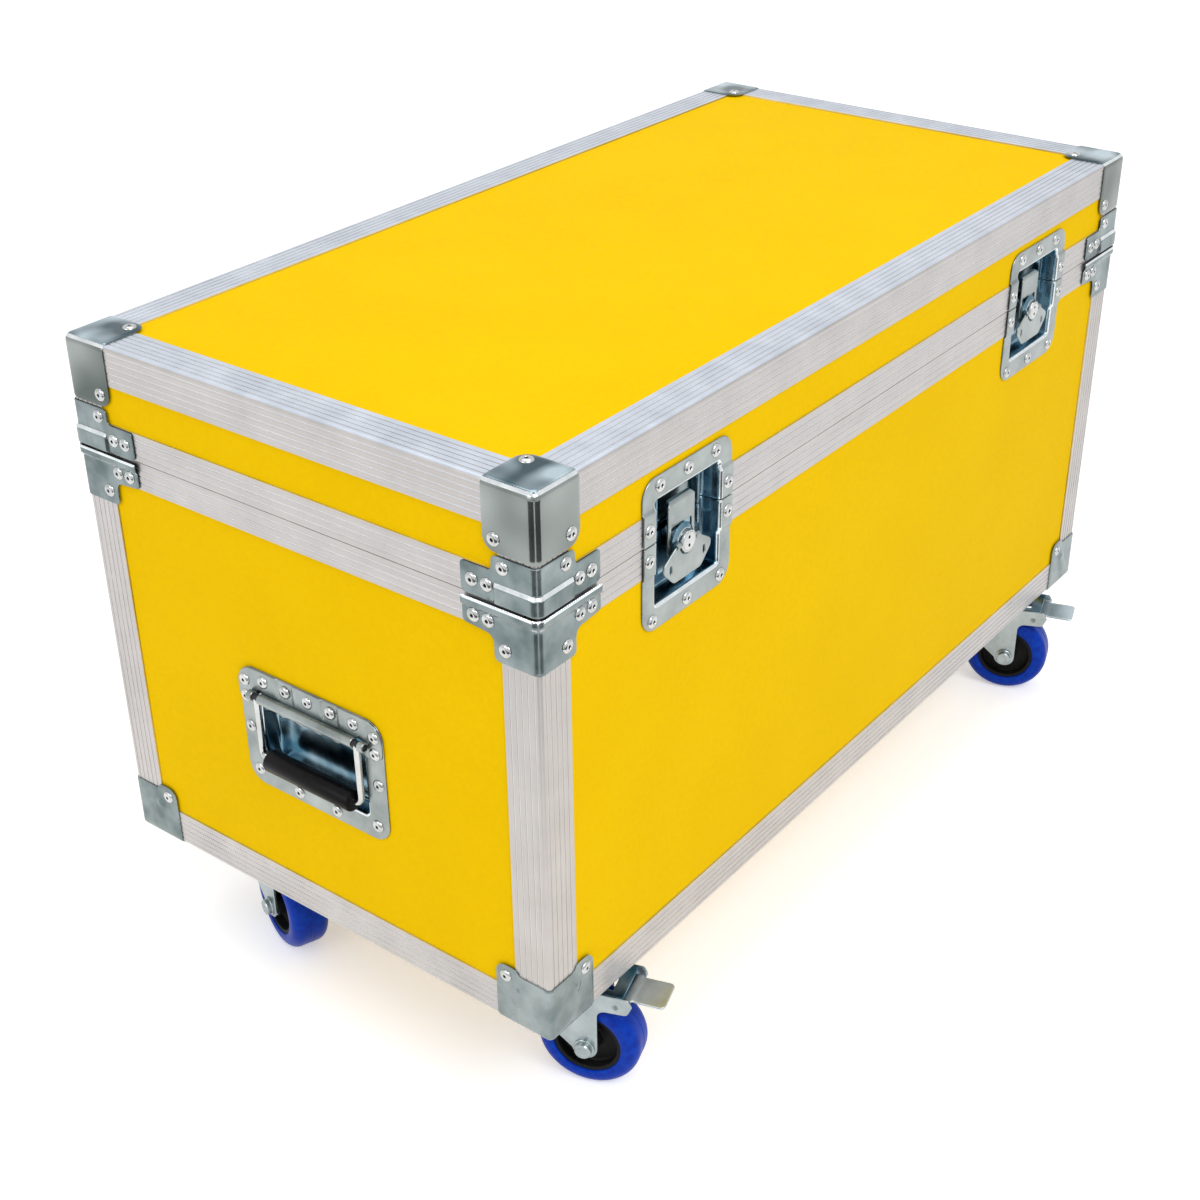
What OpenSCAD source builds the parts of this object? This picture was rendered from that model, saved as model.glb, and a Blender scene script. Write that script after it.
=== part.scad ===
// Flight case on four swivel castors: a plywood box in aluminium edging, with a
// hinged lid, two recessed butterfly latches and a recessed drop handle at each end.
// Millimetres. The front, with the latches, faces -Y. The castors stand on z = 0.

/* [Case] */
// Clear length inside, between the end panels
inside_l = 800; // [700:10:1200]
// Clear width inside, between the front and back panels
inside_w = 400; // [340:10:700]
// Clear depth of the base
base_depth = 329; // [260:1:600]
// Clear depth of the lid
lid_depth = 71; // [71:1:150]
// Thickness of the laminated plywood
ply_t = 9.5; // [9:0.1:11]
// Gap between the lid and the base when the case is shut
seam_gap = 0.4; // [0.3:0.1:0.8]

/* [Aluminium edging] */
// Width of each outer leg
edge_leg = 30; // [28:1:34]
// Wall of the outer legs
edge_wall = 1.5; // [1.2:0.1:2]
// Wall of the inner legs that hold the plywood
edge_web = 1.2; // [1:0.1:1.5]
// Width of the inner legs, from the outer corner
edge_inner = 27; // [22:1:27]
// Radius of the outer corner
edge_r = 3; // [2:0.1:4]
// Number of grooves along each outer face
groove_n = 5; // [3:1:6]
// Width of a groove
groove_w = 0.9; // [0.5:0.1:1.2]
// Depth of a groove
groove_d = 0.4; // [0.2:0.05:0.6]

/* [Closing frame] */
// Height of each closing profile on the outside
closing_h = 22; // [20:1:24]
// Height of its inner wall
closing_inner = 18; // [14:1:20]
// Number of grooves along each closing profile
closing_groove_n = 3; // [2:1:4]
// Height of the tongue on the base
tongue_h = 3.6; // [2:0.1:4.2]
// Width of the tongue at its root
tongue_w = 3; // [2:0.1:4]
// Depth of the channel in the lid profile that takes the tongue
channel_d = 5; // [4.6:0.1:6]
// Distance that the tongue stops short of the corner
tongue_end = 20; // [16:1:30]

/* [Steel corners] */
// Sheet of the corners and braces
corner_t = 1.3; // [1:0.1:1.6]
// Reach of a top corner along the case
cap_w = 41; // [36:1:46]
// Height of a top corner
cap_h = 47; // [44:1:49]
// Rounding at the free corner of each leaf
cap_r = 10; // [6:1:12]
// Reach of a bottom corner along the case
foot_cap_w = 47; // [42:1:52]
// Height of a bottom corner, without its lobes
foot_cap_h = 45; // [40:1:50]
// Radius of the lobe that holds the rivet
foot_lobe_r = 9; // [7:0.5:10]
// Height of the lobe above the rest of the bottom corner
foot_lobe_up = 5; // [3:0.5:7]
// Reach of the bottom corner's leaf under the case
foot_leaf_r = 27; // [22:1:28]
// Reach of a brace corner over the closing profile
brace_w = 60; // [54:1:66]
// Reach of the brace's tab over the post
brace_tab_w = 35; // [31:1:38]
// Height of the tab of a lid brace, from the seam
lid_tab_h = 33; // [29:1:33]
// Height of the tab of a base brace, from the seam
base_tab_h = 42; // [36:1:50]
// How far the raised band of a brace stands out
band_out = 1.6; // [1:0.1:2]
// Height of the lid brace's raised band above the seam
lid_band_h = 13; // [8:1:15]
// Height of the lid brace's wing rivets above the seam
lid_wing_rivet = 10.5; // [9:0.5:12]
// Drop of a base brace's top edge below the seam
base_brace_drop = 2; // [2:0.5:4]
// Height of the base brace's raised band
base_band_h = 7; // [4:0.5:7.5]

/* [Rivets] */
// Radius of a rivet head
rivet_r = 5; // [3.5:0.1:5.2]
// Height of a rivet head
rivet_h = 1.9; // [1.4:0.1:2.2]
// Radius of the hole left by the rivet's mandrel
mandrel_r = 1.2; // [0.8:0.1:1.5]
// Distance of a rivet from the edge of the sheet it holds
rivet_inset = 9; // [8:0.5:10]

/* [Latches] */
// Distance of each latch from the middle of the case
latch_x = 255; // [200:1:270]
// Width of the latch flange
latch_w = 101; // [99:1:112]
// Height of the flange above the seam
latch_up = 46; // [45:1:48]
// Height of the flange below the seam
latch_down = 66; // [65:1:72]
// Corner radius of the flange
latch_r = 14; // [10:1:18]
// Width of the flange at each side of the dish
latch_side = 12; // [11:0.5:15]
// Height of the flange above and below the dish
latch_flange = 15; // [14:0.5:15]
// Sheet of the flange
flange_t = 1.5; // [1.2:0.1:1.8]
// Sheet of the dish
dish_t = 1.2; // [1:0.1:1.5]
// Depth of the dish below the face of the edging
latch_dish_d = 15; // [14.6:0.1:16]
// Corner radius of the dish
dish_r = 6; // [4:0.5:8]
// Clearance of a dish in its cut-out
cut_gap = 0.5; // [0.3:0.1:1]
// Height of the spindle below the seam
spindle_down = 15; // [14:0.5:16]
// Radius of the spindle's shaft
spindle_r = 4; // [3.5:0.1:4.5]
// Radius of the eccentric on the spindle
cam_r = 7; // [6.5:0.1:7.5]
// Offset of the eccentric from the spindle's axis
cam_off = 4; // [3.8:0.1:4.2]
// Play of the eccentric in the hook's slot
cam_play = 1; // [0.9:0.1:1.2]
// Radius of the knob
knob_r = 8; // [7:0.5:8.5]
// Radius of the collar behind the knob
collar_r = 12; // [10:0.5:12.5]
// Width of the hook
hook_w = 30; // [29:1:34]
// Sheet of the hook
hook_t = 1.8; // [1.5:0.1:2]
// Width of the bracket that the spindle turns in
housing_w = 40; // [38:1:46]
// Sheet of the keeper
keeper_t = 1.2; // [1:0.1:1.5]
// Height of the keeper's lip above the floor of the dish
keeper_lip = 3.7; // [3.5:0.1:4]
// Thickness of the keeper's lip
lip_t = 1.8; // [1.5:0.1:2.2]
// Thickness of the hook's claw
claw_t = 2; // [1.6:0.1:2.4]
// Clearance between the hook and the keeper
hook_gap = 0.5; // [0.4:0.1:0.7]
// Height of the keeper's lip above the seam
keeper_up = 6; // [5:0.5:8]
// Half width of the folding wing at its ears
wing_ear_w = 27; // [26:0.5:31]
// Half width of the wing's lower edge
wing_tip_w = 15.5; // [14:0.5:17]
// Length of the wing from its hinge
wing_l = 26; // [25:0.5:30]
// Sheet of the wing
wing_t = 1.8; // [1.5:0.1:2]
// Radius of the pin that the wing folds on
wing_pin_r = 1.2; // [1:0.1:1.4]

/* [Handles] */
// Width of the handle flange
handle_w = 140; // [136:1:150]
// Height of the handle flange
handle_h = 101; // [98:1:110]
// Corner radius of the handle flange
handle_r = 15; // [10:1:18]
// Height of the handle's middle above the underside of the case
handle_up = 155; // [140:1:190]
// Width of the opening of the handle dish
handle_open_w = 106; // [104:1:108]
// Height of the opening of the handle dish
handle_open_h = 68; // [64:1:70]
// Depth of the handle dish below the panel
handle_dish_d = 13; // [12:0.5:20]
// Height of the overlay plate that carries the bail
hinge_plate_h = 31; // [28:1:34]
// Distance of the bail's axis below the top of the flange
bail_axis_down = 21; // [19:0.5:22]
// Radius of the bail rod
bail_r = 2.6; // [2.4:0.1:3.6]
// Wall of the curls around the bail rod
curl_wall = 1.2; // [1.2:0.1:1.8]
// Distance of the bail's arms from its middle
bail_arm = 49; // [46:1:50]
// Drop of the grip below the bail's axis
grip_drop = 51; // [46:1:54]
// Radius of the grip
grip_r = 8.5; // [7:0.5:9]

/* [Lid hinges] */
// Distance of each hinge from the middle of the case
hinge_x = 230; // [150:1:280]
// Length of a hinge
hinge_l = 100; // [80:1:120]
// Sheet of the hinge leaves
leaf_t = 2; // [1.5:0.1:2.2]
// Height of each leaf from the seam
leaf_h = 42; // [38:1:44]
// Distance of the hinge pin behind the case
hinge_out = 6; // [5.8:0.1:7]
// Radius of the hinge pin
pin_r = 3; // [2.5:0.1:3.3]
// Radius of the hinge knuckles
knuckle_r = 5; // [4.5:0.1:5.2]

/* [Castors] */
// Height of a castor from the floor to the case
castor_h = 108; // [106:1:116]
// Diameter of a wheel
wheel_d = 80; // [76:1:82]
// Width of a tyre
tyre_w = 32; // [28:1:34]
// Radius of the black wheel centre
hub_r = 26.5; // [24:0.5:28]
// Rounding of the tyre's shoulders
shoulder_r = 9; // [6:0.5:11]
// Distance of the swivel axis from the end of the case
castor_from_end = 72; // [72:1:90]
// Distance of the swivel axis from the side of the case
castor_from_side = 65; // [64:1:80]
// Distance of the axle behind the swivel axis
trail = 38; // [34:1:40]
// Length of the top plate, along the case
plate_l = 105; // [100:1:108]
// Width of the top plate
plate_w = 85; // [80:1:88]
// Spacing of the plate's holes along the case
plate_hole_l = 80; // [78:1:82]
// Spacing of the plate's holes across the case
plate_hole_w = 60; // [58:1:62]
// Thickness of the top plate
plate_t = 3; // [2.5:0.5:3.5]
// Sheet of the fork
fork_t = 2.5; // [2:0.1:3]
// Radius of the axle bolt
axle_r = 4; // [3.5:0.1:5]
// Radius of the king pin
king_r = 6; // [5:0.5:8]
// Reach of the brake pedal from the swivel axis
pedal_reach = 98; // [94:1:102]
// Width of the brake pedal's tab
pedal_w = 28; // [24:1:30]
// Turn of the front left castor as it stands
turn_front_left = -72; // [-90:1:-60]
// Turn of the front right castor as it stands
turn_front_right = -72; // [-90:1:-60]
// Turn of the back left castor as it stands
turn_back_left = -110; // [-140:1:-60]
// Turn of the back right castor as it stands
turn_back_right = -80; // [-140:1:-60]

/* [Hidden] */
$fn = 48;
// Clearance of a pin in its bore, on the radius
run = 0.05;
// Clearance between faces that move past each other
gap = 0.3;
eps = 0.01;

// Colours
yellow = "gold";
alu = "gainsboro";
zinc = "silver";
steel = "darkgray";
black = [0.08, 0.08, 0.09];
blue = [0.0, 0.1, 0.7];

// Outer sizes of the box and the heights of its levels
wall_t = ply_t + edge_wall;
slot_in = wall_t + edge_web;
box_l = inside_l + 2 * wall_t;
box_w = inside_w + 2 * wall_t;
base_h = base_depth + wall_t;
lid_h = lid_depth + wall_t;
box_z = castor_h;
seam_z = box_z + base_h;
top_z = seam_z + lid_h;

// The origin is under the middle of the whole part. The hinges reach furthest
// back and the brake pedals furthest forward, so the box itself sits off centre.
pedal_corner_r = 4;
function pedal_ahead(turn) = (pedal_reach - pedal_corner_r) * cos(90 + turn)
    + (pedal_w / 2 - pedal_corner_r) * sin(90 + turn) + pedal_corner_r;
reach_front = box_w / 2 - castor_from_side
    + max(pedal_ahead(turn_front_left), pedal_ahead(turn_front_right));
reach_back = box_w / 2 + hinge_out + knuckle_r;
case_y = (reach_front - reach_back) / 2;

// Castor levels, measured down from the underside of the case
wheel_r = wheel_d / 2;
axle_down = castor_h - wheel_r;
race_h = 9.7;
race_r = 25;
crown_top = plate_t + race_h + gap;
crown_t = 3;
crown_bottom = crown_top + crown_t;
king_head_h = 3.5;
leg_in = tyre_w / 2 + 1.5;
leg_out = leg_in + fork_t;
crown_back = 22;
leg_w = 10;
leg_drop = 22;
arm_end = 72;
// The fork's side: how its arm and its heel step down from the crown
arm_nose = 3;
arm_nose_drop = 6;
arm_drop = 15;
arm_root_drop = 17;
heel_in = 10;
heel_drop = 12;
// The brake shoe, and its room in front of the tyre
shoe_l = 5;
shoe_w = 16;
shoe_drop = 12;
shoe_room = 3.2;
pedal_pivot_ahead = 24;
pedal_pivot_x = trail + pedal_pivot_ahead;
pedal_pivot_down = crown_top + 9;
pedal_pin_r = 2.5;
pedal_barrel_r = 4.6;
bolt_r = 4;
bolt_play = 0.25;
bolt_head_r = 6.5;
bolt_head_h = 5.3;
tee_nut_r = 9.5;
tee_nut_h = 1.5;

// Latch levels, measured outwards from the face of the edging
latch_floor = dish_t - latch_dish_d;
lip_out = latch_floor + keeper_lip;
hook_in_locked = lip_out + hook_gap;
// The claw reaches down behind the lip, and stops short of the keeper's plate.
claw_depth = hook_in_locked - (latch_floor + keeper_t + gap);
housing_out = hook_in_locked - gap;
// The hook rests released: it has slid up and out, clear of the keeper.
hook_rise = 2 * cam_off;
hook_shift = claw_depth;
hook_in = hook_in_locked + hook_shift;
hook_top = keeper_up + hook_gap + claw_t + hook_rise;
hook_below_spindle = 17;
hook_foot = spindle_down + hook_below_spindle;
collar_in = hook_in + hook_t + gap;
collar_h = 1.6;
knob_in = collar_in + collar_h;
wing_barrel_r = wing_pin_r + 1.1;
wing_barrel_l = 4.6;
wing_axis_out = knob_in + wing_barrel_r + gap;
wing_out = wing_axis_out - wing_t / 2;
wing_notch_r = knob_r + 1.2;
knob_out = wing_axis_out + wing_pin_r + 0.8;

// Handle levels, measured outwards from the face of the end panel
curl_r = bail_r + run + curl_wall;
plate_out = 2 * flange_t;
bail_out = plate_out + curl_r - curl_wall;
bail_bend = 7;
grip_l = 2 * (bail_arm - bail_bend) - gap;
// Room between the grip and the lower edge of the opening
grip_room = 5.5;
// Flange left below the opening, which follows the grip that hangs in it
handle_margin = handle_h - bail_axis_down - grip_drop - grip_r - grip_room;
handle_open_down = handle_h - handle_open_h - handle_margin;

// Holds one child for each corner of the box
module four_corners() {
    for (sx = [0, 1])
        for (sy = [0, 1])
            flip(sx, [1, 0, 0]) flip(sy, [0, 1, 0]) children();
}

module flip(on, about) {
    if (on == 1) mirror(about) children();
    else children();
}

// The whole case in its own frame
module placed() {
    translate([0, case_y, 0]) children();
}

// A rectangle centred on x with its lower edge at y0 and rounded corners
module rounded_rect(w, y0, y1, r) {
    translate([-w / 2 + r, y0]) square([w - 2 * r, y1 - y0]);
    translate([-w / 2, y0 + r]) square([w, y1 - y0 - 2 * r]);
    for (x = [-w / 2 + r, w / 2 - r])
        for (y = [y0 + r, y1 - r])
            translate([x, y]) circle(r);
}

// A square in the first quadrant, rounded at the origin
module rounded_quarter(s, r) {
    translate([r, 0]) square([s - r, s]);
    translate([0, r]) square([s, s - r]);
    translate([r, r]) circle(r);
}

// Turns a flat shape in x and z into a sheet between two outward offsets
module outward(from, to) {
    translate([0, -from, 0]) rotate([90, 0, 0]) linear_extrude(to - from) children();
}

// Sections of the aluminium profiles

module face_grooves(length, n) {
    for (i = [1 : n])
        translate([length * i / (n + 1) - groove_w / 2, -eps])
            square([groove_w, groove_d + eps]);
}

module edge_section() {
    difference() {
        union() {
            difference() {
                rounded_quarter(edge_leg, edge_r);
                translate([edge_wall, edge_wall]) square(edge_leg);
            }
            translate([edge_wall / 2, wall_t]) square([edge_inner - edge_wall / 2, edge_web]);
            translate([wall_t, edge_wall / 2]) square([edge_web, edge_inner - edge_wall / 2]);
        }
        face_grooves(edge_leg, groove_n);
        mirror([1, -1, 0]) face_grooves(edge_leg, groove_n);
    }
}

module closing_grooves() {
    for (i = [1 : closing_groove_n])
        translate([-eps, closing_h * i / (closing_groove_n + 1) - groove_w / 2])
            square([groove_d + eps, groove_w]);
}

// Height zero is the seam and the section grows away from it
module base_closing_section() {
    difference() {
        union() {
            translate([0, seam_gap / 2]) square([edge_wall, closing_h - seam_gap / 2]);
            translate([0, seam_gap / 2]) square([slot_in, edge_wall]);
            translate([wall_t, seam_gap / 2]) square([edge_web, closing_inner]);
        }
        closing_grooves();
    }
}

module tongue_section() {
    mid = edge_wall + ply_t / 2;
    polygon([[mid - tongue_w / 2, seam_gap / 2 + eps], [mid + tongue_w / 2, seam_gap / 2 + eps],
        [mid + tongue_w / 4, -tongue_h], [mid - tongue_w / 4, -tongue_h]]);
}

module lid_closing_section() {
    difference() {
        union() {
            translate([0, seam_gap / 2]) square([edge_wall, closing_h - seam_gap / 2]);
            translate([0, channel_d]) square([slot_in, edge_wall]);
            translate([wall_t, seam_gap / 2]) square([edge_web, closing_inner]);
        }
        closing_grooves();
    }
}

// A bar along x, with the section's first axis inwards and its second upwards
module bar_x(length) {
    translate([-length / 2, 0, 0]) rotate([90, 0, 90]) linear_extrude(length) children();
}

module bar_y(length) {
    translate([0, length / 2, 0]) rotate([90, 0, 0]) linear_extrude(length) children();
}

// Edging round a level, with its outer face at z = 0 and its body above
module edging_ring() {
    for (s = [0, 1]) {
        flip(s, [0, 1, 0]) translate([0, -box_w / 2, 0]) bar_x(box_l - 2 * edge_leg)
            edge_section();
        flip(s, [1, 0, 0]) translate([-box_l / 2, 0, 0]) bar_y(box_w - 2 * edge_leg)
            edge_section();
    }
}

module post_set(height) {
    four_corners() translate([-box_l / 2, -box_w / 2, edge_r])
        linear_extrude(height - edge_r) edge_section();
}

// The shape of the box seen from above, to round the ends of the closing profiles
module box_outline(height) {
    linear_extrude(height) rounded_rect(box_l, -box_w / 2, box_w / 2, edge_r);
}

// Closing profiles, with the seam at z = 0 and their body above
module closing_ring() {
    for (s = [0, 1]) {
        flip(s, [0, 1, 0]) translate([0, -box_w / 2, 0]) bar_x(box_l) children();
        flip(s, [1, 0, 0]) translate([-box_l / 2, 0, 0]) bar_y(box_w - 2 * slot_in)
            children();
    }
}

module tongue_ring() {
    for (s = [0, 1]) {
        flip(s, [0, 1, 0]) translate([0, -box_w / 2, 0]) bar_x(box_l - 2 * tongue_end)
            tongue_section();
        flip(s, [1, 0, 0]) translate([-box_l / 2, 0, 0]) bar_y(box_w - 2 * tongue_end)
            tongue_section();
    }
}

// Cut-outs for the latch dishes, through the front of the case
dish_out_w = latch_w - 2 * latch_side + 2 * dish_t;
module latch_cuts() {
    for (s = [-1, 1])
        translate([s * latch_x, -box_w / 2, seam_z])
            outward(-latch_dish_d - 10, 5)
                rounded_rect(dish_out_w + 2 * cut_gap,
                    -latch_down + latch_flange - dish_t - cut_gap,
                    latch_up - latch_flange + dish_t + cut_gap, dish_r);
}

// Plywood panels

panel_l = box_l - 2 * slot_in;
panel_w = box_w - 2 * slot_in;
base_panel_z = box_z + slot_in;
base_panel_top = seam_z - seam_gap / 2 - edge_wall;
lid_panel_z = seam_z + channel_d + edge_wall;
lid_panel_top = top_z - slot_in;

module side_panel(z0, z1) {
    translate([-panel_l / 2, -box_w / 2 + edge_wall, z0]) cube([panel_l, ply_t, z1 - z0]);
}

module end_panel(z0, z1) {
    translate([-box_l / 2 + edge_wall, -panel_w / 2, z0]) cube([ply_t, panel_w, z1 - z0]);
}

module front_panel() {
    color(yellow) placed() difference() {
        side_panel(base_panel_z, base_panel_top);
        latch_cuts();
    }
}

module back_panel() {
    color(yellow) placed() mirror([0, 1, 0]) side_panel(base_panel_z, base_panel_top);
}

module end_panels() {
    color(yellow) placed() for (s = [0, 1]) flip(s, [1, 0, 0]) difference() {
        end_panel(base_panel_z, base_panel_top);
        at_handle() outward(-handle_dish_d - 10, 5)
            rounded_rect(handle_open_w + 2 * dish_t + 2 * cut_gap,
                handle_open_z0 - dish_t - cut_gap, handle_open_z1 + dish_t + cut_gap, dish_r);
    }
}

// Something at each hole of each castor plate
module at_castor_holes() {
    four_corners() at_castor(-1, -1) at_plate_holes() children();
}

module at_plate_holes() {
    for (x = [-1, 1])
        for (y = [-1, 1])
            translate([x * plate_hole_l / 2, y * plate_hole_w / 2, 0]) children();
}

module bolt_hole(depth) {
    translate([0, 0, -depth]) cylinder(r = bolt_r + bolt_play, h = 2 * depth);
}

module floor_panel() {
    color(yellow) placed() difference() {
        translate([-panel_l / 2, -panel_w / 2, box_z + edge_wall])
            cube([panel_l, panel_w, ply_t]);
        at_castor_holes() bolt_hole(2 * wall_t);
    }
}

module lid_top_panel() {
    color(yellow) placed() translate([-panel_l / 2, -panel_w / 2, top_z - wall_t])
        cube([panel_l, panel_w, ply_t]);
}

module lid_front_panel() {
    color(yellow) placed() difference() {
        side_panel(lid_panel_z, lid_panel_top);
        latch_cuts();
    }
}

module lid_back_panel() {
    color(yellow) placed() mirror([0, 1, 0]) side_panel(lid_panel_z, lid_panel_top);
}

module lid_end_panels() {
    color(yellow) placed() for (s = [0, 1]) flip(s, [1, 0, 0])
        end_panel(lid_panel_z, lid_panel_top);
}

// Edging, posts and closing frame

module bottom_edging() {
    color(alu) placed() difference() {
        translate([0, 0, box_z]) edging_ring();
        at_castor_holes() {
            bolt_hole(2 * wall_t);
            translate([0, 0, wall_t - eps]) cylinder(r = tee_nut_r + gap, h = wall_t);
        }
    }
}

module top_edging() {
    color(alu) placed() translate([0, 0, top_z]) mirror([0, 0, 1]) edging_ring();
}

module corner_posts() {
    color(alu) placed() translate([0, 0, box_z]) post_set(base_h - closing_h);
}

module lid_corner_posts() {
    color(alu) placed() translate([0, 0, top_z]) mirror([0, 0, 1])
        post_set(lid_h - closing_h);
}

module base_closing_frame() {
    color(alu) placed() difference() {
        translate([0, 0, seam_z]) mirror([0, 0, 1]) {
            intersection() {
                closing_ring() base_closing_section();
                box_outline(closing_h);
            }
            tongue_ring();
        }
        latch_cuts();
    }
}

module lid_closing_frame() {
    color(alu) placed() difference() {
        translate([0, 0, seam_z]) intersection() {
            closing_ring() lid_closing_section();
            box_outline(closing_h);
        }
        latch_cuts();
    }
}

// Steel corners. Each is drawn at a corner whose faces look down the three axes,
// with the box in the first octant.

// A block whose corner and edges at the origin are rounded
module corner_block(s, r) {
    translate([r, r, 0]) cube([s - r, s - r, s]);
    translate([r, 0, r]) cube([s - r, s, s - r]);
    translate([0, r, r]) cube([s, s - r, s - r]);
    translate([r, r, r]) cylinder(r = r, h = s - r);
    translate([r, s, r]) rotate([90, 0, 0]) cylinder(r = r, h = s - r);
    translate([r, r, r]) rotate([0, 90, 0]) cylinder(r = r, h = s - r);
    translate([r, r, r]) sphere(r);
}

module corner_shell(s) {
    difference() {
        translate([-corner_t, -corner_t, -corner_t])
            corner_block(s + corner_t, edge_r + corner_t);
        corner_block(s + 1, edge_r);
    }
}

// A leaf in the first quadrant, rounded at its free corner
module leaf(w, h, r) {
    translate([-corner_t, -corner_t]) square([w + corner_t - r, h + corner_t]);
    translate([-corner_t, -corner_t]) square([w + corner_t, h + corner_t - r]);
    translate([w - r, h - r]) circle(r);
}

module foot_leaf() {
    translate([-corner_t, -corner_t])
        square([foot_cap_w + corner_t, foot_cap_h + corner_t - foot_lobe_r]);
    translate([-corner_t, -corner_t])
        square([foot_cap_w + corner_t - foot_lobe_r, foot_cap_h + corner_t]);
    translate([foot_cap_w - foot_lobe_r, foot_cap_h + foot_lobe_up - foot_lobe_r])
        circle(foot_lobe_r);
    translate([foot_cap_w - 2 * foot_lobe_r, foot_cap_h / 2])
        square([2 * foot_lobe_r, foot_cap_h / 2 + foot_lobe_up - foot_lobe_r]);
}

// Stands a leaf on each of the two side faces
module two_leaves() {
    translate([0, edge_r, 0]) rotate([90, 0, 0])
        linear_extrude(edge_r + corner_t) children();
    translate([-corner_t, 0, 0]) rotate([90, 0, 90])
        linear_extrude(edge_r + corner_t) children();
}

module top_cap() {
    intersection() {
        corner_shell(cap_h + 10);
        union() {
            two_leaves() leaf(cap_w, cap_h, cap_r);
            translate([0, 0, -corner_t]) linear_extrude(edge_r + corner_t)
                leaf(cap_w, cap_w, cap_r);
        }
    }
}

module foot_cap() {
    intersection() {
        corner_shell(foot_cap_h + 20);
        union() {
            two_leaves() foot_leaf();
            translate([0, 0, -corner_t]) linear_extrude(edge_r + corner_t)
                intersection() {
                    translate([-corner_t, -corner_t]) square(foot_leaf_r + corner_t);
                    circle(foot_leaf_r);
                }
            // The strips where the side leaves turn under the case
            translate([-corner_t, -corner_t, -corner_t])
                cube([foot_cap_w + corner_t, edge_r + corner_t, edge_r + corner_t]);
            translate([-corner_t, -corner_t, -corner_t])
                cube([edge_r + corner_t, foot_cap_w + corner_t, edge_r + corner_t]);
        }
    }
}

// An angle of sheet round an upright edge, in plan
module angle_plan(w, out) {
    difference() {
        translate([-out, -out]) rounded_quarter(w + out, edge_r + out);
        rounded_quarter(w + 1, edge_r);
    }
}

// Places of a brace's rivets. The raised bands end beside them
wing_rivet_step = 12;
inner_rivet_x = brace_w - rivet_inset - wing_rivet_step;
band_to_rivet = 0.8;
base_wing_rivet = base_brace_drop + base_band_h + band_to_rivet + rivet_r;
lid_band_w = inner_rivet_x - rivet_r - band_to_rivet - 1;
lid_tab_inset = 7;
base_tab_inset = 10;

// A brace with the seam at z = 0 and its body above, from the height z0
module brace(z0, tab_h, band_w, band_h) {
    translate([0, 0, z0]) {
        linear_extrude(tab_h - z0) angle_plan(brace_tab_w, corner_t);
        linear_extrude(closing_h - seam_gap / 2 - z0) angle_plan(brace_w, corner_t);
        linear_extrude(band_h) angle_plan(band_w, corner_t + band_out);
    }
}

module at_box_corner(z) {
    translate([-box_l / 2, -box_w / 2, z]) children();
}

module top_corners() {
    color(steel) placed() four_corners() at_box_corner(top_z) mirror([0, 0, 1]) top_cap();
}

module bottom_corners() {
    color(zinc) placed() four_corners() at_box_corner(box_z) foot_cap();
}

module lid_brace_corners() {
    color(zinc) placed() four_corners() at_box_corner(seam_z)
        brace(seam_gap / 2, lid_tab_h, lid_band_w, lid_band_h);
}

module base_brace_corners() {
    color(zinc) placed() four_corners() at_box_corner(seam_z) mirror([0, 0, 1])
        brace(base_brace_drop, base_tab_h, brace_w, base_band_h);
}

// A domed rivet head on a face at z = 0, looking up
module rivet() {
    dome_r = (rivet_r * rivet_r + rivet_h * rivet_h) / (2 * rivet_h);
    difference() {
        intersection() {
            translate([0, 0, rivet_h - dome_r]) sphere(dome_r);
            cylinder(r = rivet_r, h = rivet_h);
        }
        translate([0, 0, rivet_h / 2]) cylinder(r = mandrel_r, h = rivet_h);
    }
}

// Rivets at the given points of the two side faces of a corner
module corner_rivets(points) {
    for (p = points) {
        translate([p[0], -corner_t, p[1]]) rotate([90, 0, 0]) rivet();
        translate([-corner_t, p[0], p[1]]) rotate([0, -90, 0]) rivet();
    }
}

// Rivets on a sheet whose face is at the given outward offset
module sheet_rivets(points, out) {
    for (p = points)
        translate([p[0], -out, p[1]]) rotate([90, 0, 0]) rivet();
}

// Rivets of a brace: two on each wing at the height z, and one on the tab
function brace_rivets(z, tab_z) = [[brace_w - rivet_inset, z], [inner_rivet_x, z],
    [brace_tab_w - rivet_inset, tab_z]];

module lid_rivets() {
    color(zinc) placed() {
        four_corners() {
            at_box_corner(top_z) mirror([0, 0, 1]) {
                corner_rivets([[cap_w - rivet_inset, cap_h - rivet_inset]]);
                translate([cap_w - rivet_inset, cap_w - rivet_inset, -corner_t])
                    rotate([180, 0, 0]) rivet();
            }
            at_box_corner(seam_z)
                corner_rivets(brace_rivets(lid_wing_rivet, lid_tab_h - lid_tab_inset));
        }
        at_latches() {
            sheet_rivets(latch_top_rivets, 0);
            sheet_rivets([for (s = [-1, 1]) [s * latch_rivet_x, closing_h / 2]], flange_t);
        }
        at_hinges() mirror([0, 0, 1]) leaf_rivets();
    }
}

module base_rivets() {
    color(zinc) placed() {
        four_corners() {
            at_box_corner(seam_z) mirror([0, 0, 1])
                corner_rivets(brace_rivets(base_wing_rivet, base_tab_h - base_tab_inset));
            at_box_corner(box_z)
                corner_rivets([[foot_cap_w - foot_lobe_r,
                    foot_cap_h + foot_lobe_up - foot_lobe_r]]);
        }
        at_latches() {
            sheet_rivets(latch_bottom_rivets, 0);
            sheet_rivets([for (s = [-1, 1]) [s * latch_rivet_x, -closing_h / 2]], flange_t);
        }
        at_hinges() leaf_rivets();
        for (s = [0, 1]) flip(s, [1, 0, 0]) at_handle() {
            sheet_rivets(handle_plate_rivets, plate_out);
            sheet_rivets(handle_dish_rivets, flange_t);
        }
    }
}

// Latches. Heights are from the seam and outward offsets from the face of the edging.

module at_latch(side) {
    translate([side * latch_x, -box_w / 2, seam_z]) children();
}

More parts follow.
